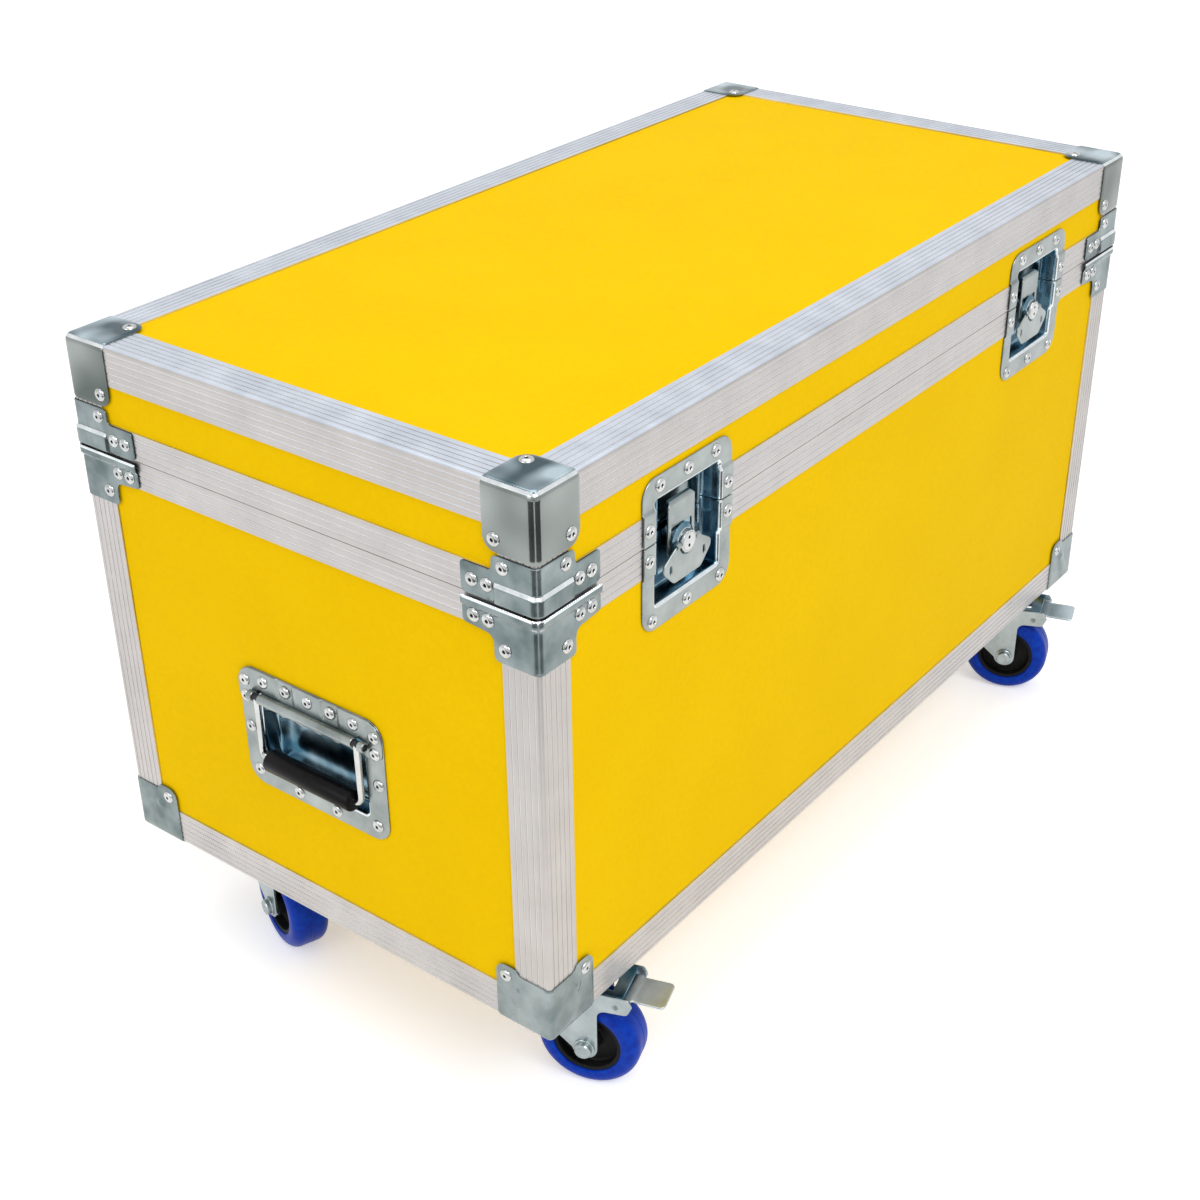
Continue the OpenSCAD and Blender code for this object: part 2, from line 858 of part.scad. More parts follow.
module at_latches() {
    for (side = [-1, 1]) at_latch(side) children();
}

latch_open_w = latch_w - 2 * latch_side;
latch_open_z0 = -latch_down + latch_flange;
latch_open_z1 = latch_up - latch_flange;
latch_rivet_x = latch_w / 2 - latch_side / 2;
latch_bottom_x = latch_w / 2 - 0.8 * latch_r;
latch_top_x = latch_bottom_x - 8;
latch_top_rivets = [for (x = [-latch_top_x, 0, latch_top_x])
    [x, latch_up - latch_flange / 2]];
latch_bottom_rivets = [for (x = [-latch_bottom_x, 0, latch_bottom_x])
    [x, -latch_down + latch_flange / 2]];

module latch_outline() {
    rounded_rect(latch_w, -latch_down, latch_up, latch_r);
}

// The cranked flange and the dish, before they are parted at the seam
module latch_dish() {
    step = closing_h + flange_t;
    difference() {
        union() {
            outward(0, flange_t) intersection() {
                latch_outline();
                translate([-latch_w, -step]) square([2 * latch_w, 2 * step]);
            }
            outward(-edge_wall, 0) difference() {
                latch_outline();
                translate([-latch_w, -closing_h]) square([2 * latch_w, 2 * closing_h]);
            }
            outward(-latch_dish_d, 0)
                rounded_rect(dish_out_w, latch_open_z0 - dish_t, latch_open_z1 + dish_t,
                    dish_r);
        }
        outward(latch_floor, flange_t + 1)
            rounded_rect(latch_open_w, latch_open_z0, latch_open_z1, dish_r - dish_t);
    }
}

// Keeps what lies above the seam
module above_seam() {
    intersection() {
        children();
        translate([-latch_w, -latch_w, seam_gap / 2]) cube(2 * latch_w);
    }
}

module below_seam() {
    intersection() {
        children();
        translate([-latch_w, -latch_w, -2 * latch_w - seam_gap / 2]) cube(2 * latch_w);
    }
}

module latch_lid_dishes() {
    color(zinc) placed() at_latches() above_seam() latch_dish();
}

module latch_base_dishes() {
    color(zinc) placed() at_latches() difference() {
        below_seam() latch_dish();
        spindle_bore(-latch_dish_d - 1, latch_floor + 1);
    }
}

module spindle_bore(from, to) {
    outward(from, to) translate([0, -spindle_down]) circle(spindle_r + run);
}

// The bracket on the floor of the base dish that steadies the spindle
module latch_housings() {
    foot_w = 4;
    below = 20;
    above = 12;
    color(zinc) placed() at_latches() difference() {
        outward(latch_floor, housing_out)
            translate([-housing_w / 2, -spindle_down - below])
                square([housing_w, below + above]);
        outward(latch_floor - 1, housing_out - dish_t)
            translate([-housing_w / 2 + foot_w, -spindle_down - below - 1])
                square([housing_w - 2 * foot_w, below + above + 2]);
        spindle_bore(latch_floor, housing_out + 1);
    }
}

// The lip on the lid's dish that the hook pulls down
module latch_keepers() {
    lip_w = hook_w + 4;
    plate_h = 16;
    color(zinc) placed() at_latches() translate([-lip_w / 2, 0, keeper_up - lip_t]) {
        outward(latch_floor, latch_floor + keeper_t) square([lip_w, plate_h]);
        outward(latch_floor, lip_out) square([lip_w, lip_t]);
    }
}

// The hook, released. Its claw points inwards above the keeper.
module hook() {
    slot_w = 2 * (cam_r + cam_off) + cam_play;
    slot_h = 2 * (cam_r + cam_play);
    corner_r = 3;
    claw_inset = 3;
    difference() {
        outward(hook_in, hook_in + hook_t)
            rounded_rect(hook_w, -hook_foot + hook_rise, hook_top, corner_r);
        outward(hook_in - 1, hook_in + hook_t + 1)
            translate([-slot_w / 2, -spindle_down + cam_off - slot_h / 2])
                square([slot_w, slot_h]);
    }
    outward(hook_in - claw_depth, hook_in + eps)
        translate([-hook_w / 2 + claw_inset, hook_top - claw_t])
            square([hook_w - 2 * claw_inset, claw_t]);
}

// The shaft, the eccentric, the collar and the knob with its two pin holes
module spindle() {
    shaft_end = 0.8;
    cam_in = housing_out + gap;
    pin_hole_r = 1.2;
    pin_hole_off = 3;
    pin_hole_d = 2;
    pin_l = 2 * (knob_r + gap + wing_barrel_l);
    translate([0, 0, -spindle_down]) {
        outward(-latch_dish_d - shaft_end, cam_in + eps) circle(spindle_r);
        outward(cam_in, collar_in + eps) translate([0, cam_off]) circle(cam_r);
        outward(collar_in, knob_in) circle(collar_r);
        difference() {
            outward(knob_in - eps, knob_out) circle(knob_r);
            for (z = [-pin_hole_off, pin_hole_off])
                outward(knob_out - pin_hole_d, knob_out + 1)
                    translate([0, z]) circle(pin_hole_r);
        }
        translate([-pin_l / 2, -wing_axis_out, 0]) rotate([0, 90, 0])
            cylinder(r = wing_pin_r, h = pin_l);
    }
}

// The flat of the wing below its hinge: two ears with a finger slot in each, and a
// notch round the knob
module wing_shape() {
    root = knob_r + gap + wing_barrel_l;
    ear_top = -wing_l * 0.35;
    ear_low = -wing_l * 0.55;
    slot_r = 1.2;
    slot_half = 2;
    slot_inset = 8;
    difference() {
        polygon([[-root, 0], [root, 0], [wing_ear_w, ear_top], [wing_ear_w, ear_low],
            [wing_tip_w, -wing_l], [-wing_tip_w, -wing_l], [-wing_ear_w, ear_low],
            [-wing_ear_w, ear_top]]);
        circle(wing_notch_r);
        for (s = [-1, 1])
            translate([s * (wing_ear_w - slot_inset), ear_low]) {
                translate([-slot_r, -slot_half]) square([2 * slot_r, 2 * slot_half]);
                for (z = [-slot_half, slot_half])
                    translate([0, z]) circle(slot_r);
            }
    }
}

// The wing, folded down flat, with a barrel each side of the knob
module wing() {
    translate([0, 0, -spindle_down]) difference() {
        union() {
            outward(wing_out, wing_out + wing_t) wing_shape();
            for (s = [0, 1])
                flip(s, [1, 0, 0]) translate([knob_r + gap, -wing_axis_out, 0])
                    rotate([0, 90, 0]) cylinder(r = wing_barrel_r, h = wing_barrel_l);
        }
        translate([-wing_ear_w, -wing_axis_out, 0]) rotate([0, 90, 0])
            cylinder(r = wing_pin_r + run, h = 2 * wing_ear_w);
    }
}

module latch_left_hook() { color(zinc) placed() at_latch(-1) hook(); }
module latch_right_hook() { color(zinc) placed() at_latch(1) hook(); }
module latch_left_spindle() { color(zinc) placed() at_latch(-1) spindle(); }
module latch_right_spindle() { color(zinc) placed() at_latch(1) spindle(); }
module latch_left_wing() { color(zinc) placed() at_latch(-1) wing(); }
module latch_right_wing() { color(zinc) placed() at_latch(1) wing(); }

// Handles. Heights are from the middle of the flange and outward offsets from
// the face of the end panel.

handle_z = box_z + handle_up;
handle_open_z1 = handle_h / 2 - handle_open_down;
handle_open_z0 = handle_open_z1 - handle_open_h;
bail_z = handle_h / 2 - bail_axis_down;

// At the left end of the case, looking along -X
module at_handle() {
    translate([-box_l / 2 + edge_wall, 0, handle_z]) rotate([0, 0, -90]) children();
}

module both_ends() {
    for (s = [0, 1]) flip(s, [1, 0, 0]) at_handle() children();
}

// Rivets of the overlay plate: five along the top and two down each side. Those of
// the dish: one at each side, two in the lower corners and two along the bottom.
handle_rivet_x = handle_w / 2 - 7;
handle_top_z = handle_h / 2 - 8;
handle_plate_rivets = concat(
    [for (i = [-2 : 2]) [i * handle_rivet_x * 0.35, handle_top_z]],
    [for (s = [-1, 1]) [s * handle_rivet_x, handle_top_z - 4]],
    [for (s = [-1, 1]) [s * handle_rivet_x, handle_h / 2 - hinge_plate_h + 5.5]]);
handle_dish_rivets = concat(
    [for (s = [-1, 1]) [s * handle_rivet_x, -2]],
    [for (s = [-1, 1]) [s * (handle_rivet_x - 4), -handle_h / 2 + 12]],
    [for (s = [-1, 1]) [s * handle_rivet_x * 0.3, -handle_h / 2 + handle_margin / 2]]);

module handle_dishes() {
    color(zinc) placed() both_ends() difference() {
        union() {
            outward(0, flange_t)
                rounded_rect(handle_w, -handle_h / 2, handle_h / 2, handle_r);
            outward(-handle_dish_d, 0)
                rounded_rect(handle_open_w + 2 * dish_t, handle_open_z0 - dish_t,
                    handle_open_z1 + dish_t, dish_r);
        }
        outward(dish_t - handle_dish_d, flange_t + 1)
            rounded_rect(handle_open_w, handle_open_z0, handle_open_z1, dish_r - dish_t);
    }
}

// The overlay plate, with a long curl between the bail's arms and a short one
// at each end of its rod
module handle_hinge_plates() {
    curl_half = bail_arm - bail_r - gap;
    ear_in = bail_arm + bail_r + gap;
    ear_l = 5;
    plate_r = 8;
    color(zinc) placed() both_ends() difference() {
        union() {
            outward(flange_t, plate_out) intersection() {
                rounded_rect(handle_w, -handle_h / 2, handle_h / 2, handle_r);
                rounded_rect(handle_w, handle_h / 2 - hinge_plate_h, handle_h, plate_r);
            }
            translate([-curl_half, -bail_out, bail_z]) rotate([0, 90, 0])
                cylinder(r = curl_r, h = 2 * curl_half);
            for (s = [0, 1])
                flip(s, [1, 0, 0]) translate([ear_in, -bail_out, bail_z])
                    rotate([0, 90, 0]) cylinder(r = curl_r, h = ear_l);
        }
        translate([-handle_w / 2, -bail_out, bail_z]) rotate([0, 90, 0])
            cylinder(r = bail_r + run, h = handle_w);
        // Slots that let the bail's arms pass
        for (s = [-1, 1])
            outward(flange_t - 1, plate_out + 1)
                translate([s * bail_arm - bail_r - gap, bail_z - hinge_plate_h])
                    square([2 * (bail_r + gap), hinge_plate_h + bail_r + gap]);
    }
}

// A quarter bend of the rod, from the +x direction to the -z direction
module rod_bend() {
    rotate([90, 0, 0]) rotate_extrude(angle = 90) translate([bail_bend, 0]) circle(bail_r);
}

module bail() {
    ear_end = bail_arm + bail_r + gap + 4.5;
    translate([-ear_end, -bail_out, bail_z]) rotate([0, 90, 0])
        cylinder(r = bail_r, h = 2 * ear_end);
    for (s = [0, 1]) flip(s, [1, 0, 0]) {
        translate([bail_arm, -bail_out, bail_z - grip_drop + bail_bend])
            cylinder(r = bail_r, h = grip_drop - bail_bend);
        translate([bail_arm - bail_bend, -bail_out, bail_z - grip_drop + bail_bend])
            mirror([0, 0, 1]) rod_bend();
    }
    translate([-bail_arm + bail_bend, -bail_out, bail_z - grip_drop]) rotate([0, 90, 0])
        cylinder(r = bail_r, h = 2 * (bail_arm - bail_bend));
}

module grip() {
    translate([-grip_l / 2, -bail_out, bail_z - grip_drop]) rotate([0, 90, 0])
        difference() {
            cylinder(r = grip_r, h = grip_l);
            translate([0, 0, -1]) cylinder(r = bail_r + run, h = grip_l + 2);
        }
}

module handle_left_bail() { color(zinc) placed() at_handle() bail(); }
module handle_left_grip() { color(black) placed() at_handle() grip(); }
module handle_right_bail() {
    color(zinc) placed() mirror([1, 0, 0]) at_handle() bail();
}
module handle_right_grip() {
    color(black) placed() mirror([1, 0, 0]) at_handle() grip();
}

// Lid hinges. Seen from behind: heights from the seam, outward offsets from the back face.

module at_hinges() {
    for (side = [-1, 1])
        translate([side * hinge_x, box_w / 2, seam_z]) mirror([0, 1, 0]) children();
}

knuckle_l = hinge_l / 3;

module leaf_rivets() {
    sheet_rivets([for (x = [-0.36, 0.36]) [hinge_l * x, -closing_h / 2 - 2]], leaf_t);
    sheet_rivets([for (x = [-0.36, 0.36]) [hinge_l * x, -leaf_h + rivet_inset - 1]],
        leaf_t - edge_wall);
}

module knuckle_bar(from, to, r) {
    translate([from, -hinge_out, 0]) rotate([0, 90, 0]) cylinder(r = r, h = to - from);
}

// The cranked plate of a leaf, below the seam
module leaf_plate() {
    outward(0, leaf_t) translate([-hinge_l / 2, -closing_h - leaf_t])
        square([hinge_l, closing_h + leaf_t - 1]);
    outward(-edge_wall, leaf_t - edge_wall) translate([-hinge_l / 2, -leaf_h])
        square([hinge_l, leaf_h - closing_h - eps]);
}

module hinge_base_leaves() {
    color(zinc) placed() at_hinges() difference() {
        union() {
            difference() {
                leaf_plate();
                knuckle_bar(-hinge_l / 2 - 1, -knuckle_l / 2, knuckle_r + gap);
                knuckle_bar(knuckle_l / 2, hinge_l / 2 + 1, knuckle_r + gap);
            }
            knuckle_bar(-knuckle_l / 2 + gap, knuckle_l / 2 - gap, knuckle_r);
        }
        knuckle_bar(-hinge_l, hinge_l, pin_r + run);
    }
}

module hinge_lid_leaves() {
    color(zinc) placed() at_hinges() mirror([0, 0, 1]) difference() {
        union() {
            difference() {
                leaf_plate();
                knuckle_bar(-knuckle_l / 2 - gap, knuckle_l / 2 + gap, knuckle_r + gap);
            }
            for (s = [0, 1])
                flip(s, [1, 0, 0]) knuckle_bar(knuckle_l / 2, hinge_l / 2, knuckle_r);
        }
        knuckle_bar(-hinge_l, hinge_l, pin_r + run);
    }
}

module hinge_pins() {
    color(steel) placed() at_hinges() {
        knuckle_bar(-hinge_l / 2 - 0.5, hinge_l / 2 + 0.5, pin_r);
    }
}

// Castors. Heights are from the underside of the case. The wheel trails along +x.

module at_castor(sx, sy) {
    translate([sx * (box_l / 2 - castor_from_end), sy * (box_w / 2 - castor_from_side), box_z])
        children();
}

module castor_plates() {
    color(zinc) placed() four_corners() at_castor(-1, -1) {
        difference() {
            union() {
                translate([0, 0, -plate_t]) linear_extrude(plate_t)
                    rounded_rect(plate_l, -plate_w / 2, plate_w / 2, 6);
                translate([0, 0, -plate_t - race_h])
                    cylinder(r = race_r, h = race_h + eps);
            }
            at_plate_holes() bolt_hole(2 * plate_t);
        }
        translate([0, 0, -crown_bottom - gap - king_head_h])
            cylinder(r = king_r, h = crown_bottom + gap + king_head_h - plate_t);
        translate([0, 0, -crown_bottom - gap - king_head_h])
            cylinder(r = king_r + 4, h = king_head_h);
    }
}

// A bolt from below and the tee nut that it screws into on the inside of the floor
module castor_bolts() {
    color(zinc) placed() at_castor_holes() {
        translate([0, 0, -plate_t - bolt_head_h])
            cylinder(r = bolt_head_r, h = bolt_head_h, $fn = 6);
        translate([0, 0, -plate_t - eps])
            cylinder(r = bolt_r, h = plate_t + wall_t + tee_nut_h);
        difference() {
            translate([0, 0, wall_t]) cylinder(r = tee_nut_r, h = tee_nut_h);
            translate([0, 0, wall_t - 1]) cylinder(r = bolt_r + run, h = tee_nut_h + 2);
        }
    }
}

// The side of a fork, in x and z
module fork_side(braked) {
    arm = braked ? arm_end : trail + leg_w + arm_nose;
    polygon([[-crown_back, -crown_top], [arm, -crown_top],
        [arm + arm_nose, -crown_top - arm_nose_drop],
        [arm - 1, -crown_top - arm_drop], [trail + leg_w + 1, -crown_top - arm_root_drop],
        [trail + leg_w, -crown_top - leg_drop], [trail + leg_w, -axle_down],
        [trail - leg_w, -axle_down - 2], [-crown_back + heel_in, -crown_top - leg_drop],
        [-crown_back, -crown_top - heel_drop]]);
    translate([trail, -axle_down]) circle(leg_w);
}

module fork(braked) {
    difference() {
        union() {
            for (s = [0, 1])
                flip(s, [0, 1, 0]) translate([0, -leg_in, 0]) rotate([90, 0, 0])
                    linear_extrude(fork_t) fork_side(braked);
            translate([-crown_back, -leg_out, -crown_bottom])
                cube([crown_back + trail + leg_w, 2 * leg_out, crown_bottom - crown_top]);
            if (braked) {
                // The bridge over the arms, with its window, and the pedal's pin
                difference() {
                    translate([trail + leg_w - 1, -leg_out, -crown_top - 2])
                        cube([arm_end - trail - leg_w - 4, 2 * leg_out, 2]);
                    translate([trail + leg_w + 3, -leg_in + 6, -crown_top - 3])
                        cube([7, 2 * leg_in - 12, 4]);
                }
                translate([pedal_pivot_x, leg_out, -pedal_pivot_down]) rotate([90, 0, 0])
                    cylinder(r = pedal_pin_r, h = 2 * leg_out);
            }
        }
        translate([0, 0, -crown_bottom - 1])
            cylinder(r = king_r + run, h = crown_bottom - crown_top + 2);
        translate([trail, leg_out + 1, -axle_down]) rotate([90, 0, 0])
            cylinder(r = axle_r + run, h = 2 * leg_out + 2);
    }
}

// The axle: a bolt with a flanged round head, and its nut
module axle() {
    head_r = axle_r + 2.6;
    head_h = 4;
    flange_r = axle_r + 4;
    translate([trail, 0, -axle_down]) rotate([90, 0, 0]) {
        translate([0, 0, -leg_out - head_h - 1]) cylinder(r = axle_r, h = 2 * leg_out + 2 * head_h);
        translate([0, 0, leg_out]) cylinder(r = flange_r, h = 1.5);
        translate([0, 0, leg_out]) cylinder(r = head_r, h = head_h + 1.5);
        translate([0, 0, -leg_out - head_h]) cylinder(r = head_r + 1, h = head_h, $fn = 6);
    }
}

module hub() {
    rim_half = tyre_w / 2 - 1.5;
    web_half = 6;
    boss_r = 10;
    boss_half = leg_in - gap;
    translate([trail, 0, -axle_down]) rotate([90, 0, 0]) rotate_extrude() {
        difference() {
            translate([0, -rim_half]) square([hub_r, 2 * rim_half]);
            for (s = [0, 1])
                flip(s, [0, 1, 0]) translate([-1, web_half]) square([hub_r - 3, rim_half]);
            translate([-1, -rim_half - 1]) square([axle_r + run + 1, 2 * rim_half + 2]);
        }
        translate([axle_r + run, -boss_half])
            square([boss_r - axle_r - run, 2 * boss_half]);
    }
}

module tyre() {
    translate([trail, 0, -axle_down]) rotate([90, 0, 0]) rotate_extrude($fn = 96)
        difference() {
            union() {
                translate([0, -tyre_w / 2]) square([wheel_r - shoulder_r, tyre_w]);
                translate([0, -tyre_w / 2 + shoulder_r])
                    square([wheel_r, tyre_w - 2 * shoulder_r]);
                for (s = [-1, 1])
                    translate([wheel_r - shoulder_r, s * (tyre_w / 2 - shoulder_r)])
                        circle(shoulder_r);
            }
            translate([-1, -tyre_w]) square([hub_r + 1, 2 * tyre_w]);
        }
}

// The brake pedal, raised: a barrel on the pin, a tab and the shoe that meets the tyre
module pedal() {
    barrel_half = leg_in - gap;
    tab_t = 2;
    tab_z = -pedal_pivot_down + pedal_barrel_r - tab_t;
    shoe_x = trail + shoe_room
        + sqrt(wheel_r * wheel_r - pow(axle_down - pedal_pivot_down - shoe_drop, 2));
    difference() {
        union() {
            translate([pedal_pivot_x, barrel_half, -pedal_pivot_down]) rotate([90, 0, 0])
                cylinder(r = pedal_barrel_r, h = 2 * barrel_half);
            translate([0, 0, tab_z]) linear_extrude(tab_t) {
                translate([pedal_pivot_x, -barrel_half + 2])
                    square([arm_end + 3 - pedal_pivot_x, 2 * barrel_half - 4]);
                translate([arm_end, -pedal_w / 2])
                    square([pedal_reach - arm_end - pedal_corner_r, pedal_w]);
                translate([arm_end, -pedal_w / 2 + pedal_corner_r])
                    square([pedal_reach - arm_end, pedal_w - 2 * pedal_corner_r]);
                for (s = [-1, 1])
                    translate([pedal_reach - pedal_corner_r, s * (pedal_w / 2 - pedal_corner_r)])
                        circle(pedal_corner_r);
            }
            translate([shoe_x, -shoe_w / 2, -pedal_pivot_down - shoe_drop])
                cube([shoe_l, shoe_w, shoe_drop]);
        }
        translate([pedal_pivot_x, barrel_half + 1, -pedal_pivot_down]) rotate([90, 0, 0])
            cylinder(r = pedal_pin_r + run, h = 2 * barrel_half + 2);
    }
}

module turned(sx, sy, turn) {
    placed() at_castor(sx, sy) rotate([0, 0, turn]) children();
}

module front_left() { turned(-1, -1, turn_front_left) children(); }
module front_right() { turned(1, -1, turn_front_right) children(); }
module back_left() { turned(-1, 1, turn_back_left) children(); }
module back_right() { turned(1, 1, turn_back_right) children(); }

module castor_front_left_fork() { color(zinc) front_left() fork(true); }
module castor_front_right_fork() { color(zinc) front_right() fork(true); }
module castor_back_left_fork() { color(zinc) back_left() fork(false); }
module castor_back_right_fork() { color(zinc) back_right() fork(false); }
module castor_front_left_axle() { color(zinc) front_left() axle(); }
module castor_front_right_axle() { color(zinc) front_right() axle(); }
module castor_back_left_axle() { color(zinc) back_left() axle(); }
module castor_back_right_axle() { color(zinc) back_right() axle(); }
module castor_front_left_hub() { color(black) front_left() hub(); }
module castor_front_right_hub() { color(black) front_right() hub(); }
module castor_back_left_hub() { color(black) back_left() hub(); }
module castor_back_right_hub() { color(black) back_right() hub(); }
module castor_front_left_tyre() { color(blue) front_left() tyre(); }
module castor_front_right_tyre() { color(blue) front_right() tyre(); }
module castor_back_left_tyre() { color(blue) back_left() tyre(); }
module castor_back_right_tyre() { color(blue) back_right() tyre(); }
module brake_left_pedal() { color(zinc) front_left() pedal(); }
module brake_right_pedal() { color(zinc) front_right() pedal(); }

front_panel();
back_panel();
end_panels();
floor_panel();
corner_posts();
bottom_edging();
base_closing_frame();
bottom_corners();
base_brace_corners();
base_rivets();
latch_base_dishes();
latch_housings();
handle_dishes();
handle_hinge_plates();
hinge_base_leaves();
hinge_pins();
castor_plates();
castor_bolts();
lid_top_panel();
lid_front_panel();
lid_back_panel();
lid_end_panels();
top_edging();
lid_corner_posts();
lid_closing_frame();
top_corners();
lid_brace_corners();
lid_rivets();
latch_lid_dishes();
latch_keepers();
hinge_lid_leaves();
latch_left_hook();
latch_right_hook();
latch_left_spindle();
latch_right_spindle();
latch_left_wing();
latch_right_wing();
handle_left_bail();
handle_right_bail();
handle_left_grip();
handle_right_grip();
castor_front_left_fork();
castor_front_right_fork();
castor_back_left_fork();
castor_back_right_fork();
castor_front_left_axle();
castor_front_right_axle();
castor_back_left_axle();
castor_back_right_axle();
castor_front_left_hub();
castor_front_right_hub();
castor_back_left_hub();
castor_back_right_hub();
castor_front_left_tyre();
castor_front_right_tyre();
castor_back_left_tyre();
castor_back_right_tyre();
brake_left_pedal();
brake_right_pedal();
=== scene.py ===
# Looks of a flight case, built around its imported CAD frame. Lengths in the code are
# millimetres in the CAD frame, and become metres when an object is made.
import math
import bpy
import numpy as np
from mathutils import Matrix, Vector
from mathutils.geometry import delaunay_2d_cdt

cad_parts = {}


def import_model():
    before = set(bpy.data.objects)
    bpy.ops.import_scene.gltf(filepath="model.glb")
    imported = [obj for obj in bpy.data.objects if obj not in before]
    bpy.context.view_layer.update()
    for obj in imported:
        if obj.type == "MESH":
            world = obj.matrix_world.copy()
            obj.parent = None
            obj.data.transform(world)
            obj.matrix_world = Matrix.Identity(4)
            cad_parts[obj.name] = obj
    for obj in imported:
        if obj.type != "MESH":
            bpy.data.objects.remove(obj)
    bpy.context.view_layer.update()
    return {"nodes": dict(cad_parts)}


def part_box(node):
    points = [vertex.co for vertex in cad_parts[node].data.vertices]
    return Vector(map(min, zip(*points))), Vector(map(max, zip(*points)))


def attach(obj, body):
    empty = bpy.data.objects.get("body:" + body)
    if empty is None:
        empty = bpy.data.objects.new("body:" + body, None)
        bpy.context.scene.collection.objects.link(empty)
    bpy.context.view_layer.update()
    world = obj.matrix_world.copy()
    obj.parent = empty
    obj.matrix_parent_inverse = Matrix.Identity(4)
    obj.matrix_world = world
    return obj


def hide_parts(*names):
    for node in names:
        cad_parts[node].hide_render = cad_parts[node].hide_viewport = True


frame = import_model()
MM = 0.001

# Sizes shared with the CAD source
EDGE_R = 3
EDGING_T = 1.5
CORNER_T = 1.3
SEAM_GAP = 0.4

# Faces and levels of the box, read from the CAD nodes
top_lo, top_hi = (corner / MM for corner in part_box("top_edging"))
END_X = top_hi.x
HALF_Y = (top_hi.y - top_lo.y) / 2
MID_Y = (top_hi.y + top_lo.y) / 2
TOP_Z = top_hi.z
UNDER_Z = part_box("bottom_edging")[0].z / MM
SEAM_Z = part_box("lid_closing_frame")[0].z / MM - SEAM_GAP / 2
CORNERS = [(sx, sy) for sx in (-1, 1) for sy in (-1, 1)]

# Limits of the mesh helpers. A sliver is an area, the others are lengths.
TINY = 1e-6
WELD = 1e-4
SLIVER = 1e-7
FAR = 1e9
PRESSED_SHARP, CAD_SHARP, BEVEL_SHARP = 35, 30, 50

# Where a sheet's inner points go: rings in its rounded rim, as shares of its width, the room
# of free points beside loops, and in steps that of grid points beside loops and free points
ROLL_RINGS = (0.25, 0.6, 1.0)
FREE_ROOM = 0.08
GRID_ROOM = 0.5
GRID_SPACE = 0.55


# Mesh helpers


def smooth_step(x, a, b):
    t = np.clip((np.asarray(x, float) - a) / (b - a), 0, 1)
    return t * t * (3 - 2 * t)


def rounded_box(u, v, cu, cv, half_u, half_v, r):
    """Signed distance to a rounded rectangle, negative inside it."""
    qu, qv = np.abs(u - cu) - (half_u - r), np.abs(v - cv) - (half_v - r)
    outside = np.hypot(np.maximum(qu, 0), np.maximum(qv, 0))
    return outside + np.minimum(np.maximum(qu, qv), 0) - r


def rounded_loop(points, radii, turn=15):
    """A closed polygon, anticlockwise, with each corner rounded by its radius."""
    points = [np.array(p, float) for p in points]
    loop = []
    for i, p in enumerate(points):
        r = radii[i] if np.ndim(radii) else radii
        a, b = points[i - 1] - p, points[(i + 1) % len(points)] - p
        la, lb = np.linalg.norm(a), np.linalg.norm(b)
        if r <= 0:
            loop.append(p)
            continue
        a, b = a / la, b / lb
        half = math.acos(np.clip(a @ b, -1, 1)) / 2
        cut = min(r / math.tan(half), 0.49 * la, 0.49 * lb)
        r = cut * math.tan(half)
        middle = (a + b) / np.linalg.norm(a + b)
        centre = p + middle * (r / math.sin(half))
        start, end = p + a * cut - centre, p + b * cut - centre
        sweep = math.atan2(start[0] * end[1] - start[1] * end[0], start @ end)
        n = max(2, round(abs(math.degrees(sweep)) / turn))
        for k in range(n + 1):
            t = sweep * k / n
            c, s = math.cos(t), math.sin(t)
            x, y = c * start[0] - s * start[1], s * start[0] + c * start[1]
            loop.append(centre + np.array([x, y]))
    return np.array(loop)


def rectangle(u0, v0, u1, v1, r=0):
    return rounded_loop([(u0, v0), (u1, v0), (u1, v1), (u0, v1)], r)


def disc(cu, cv, r, n=20):
    t = np.linspace(0, 2 * math.pi, n, endpoint=False)
    return np.stack([cu + r * np.cos(t), cv + r * np.sin(t)], 1)


def divided(line, step, closed=True):
    """The line with points at most a step apart."""
    line = np.asarray(line, float)
    ends = np.roll(line, -1, 0) if closed else line[1:]
    out = []
    for p, q in zip(line, ends):
        n = max(1, math.ceil(np.linalg.norm(q - p) / step - TINY))
        out += [p + (q - p) * k / n for k in range(n)]
    return np.array(out if closed else out + [line[-1]])


def to_segment(points, p, q):
    """Distance from each point to the segment from p to q."""
    d = q - p
    t = np.clip(((points - p) @ d) / max(d @ d, TINY ** 2), 0, 1)
    return np.hypot(*(points - p - t[:, None] * d).T)


def distance(points, loops, free=False):
    """Distance from each point to the nearest segment of closed loops, or of the segments
    that don't lie on an axis."""
    best = np.full(len(points), FAR)
    for loop in loops:
        for p, q in zip(loop, np.roll(loop, -1, 0)):
            if not free or np.maximum(p, q).min() >= TINY:
                best = np.minimum(best, to_segment(points, p, q))
    return best


def inside(points, loop):
    x, y = points.T
    result = np.zeros(len(points), bool)
    for (x0, y0), (x1, y1) in zip(loop, np.roll(loop, -1, 0)):
        if y0 != y1:
            result ^= ((y0 > y) != (y1 > y)) & (x < (x1 - x0) * (y - y0) / (y1 - y0) + x0)
    return result


def between(points, loops):
    """Which points are inside the first loop and outside the others, its holes."""
    keep = inside(points, loops[0])
    for hole in loops[1:]:
        keep &= ~inside(points, hole)
    return keep


def upright(us, low, high):
    """Upright lines for a sheet's inner points."""
    return [np.array([(u, low), (u, high)]) for u in us]


def level_lines(half, vs):
    return [np.array([(-half, v), (half, v)]) for v in vs]


def arc(cx, cy, r, degrees):
    return [(cx + r * math.cos(t), cy + r * math.sin(t)) for t in np.radians(degrees)]


def both_ways(half):
    """A turned profile that is alike at both ends, from its first half."""
    return half + [(r, -z) for r, z in half[::-1]]


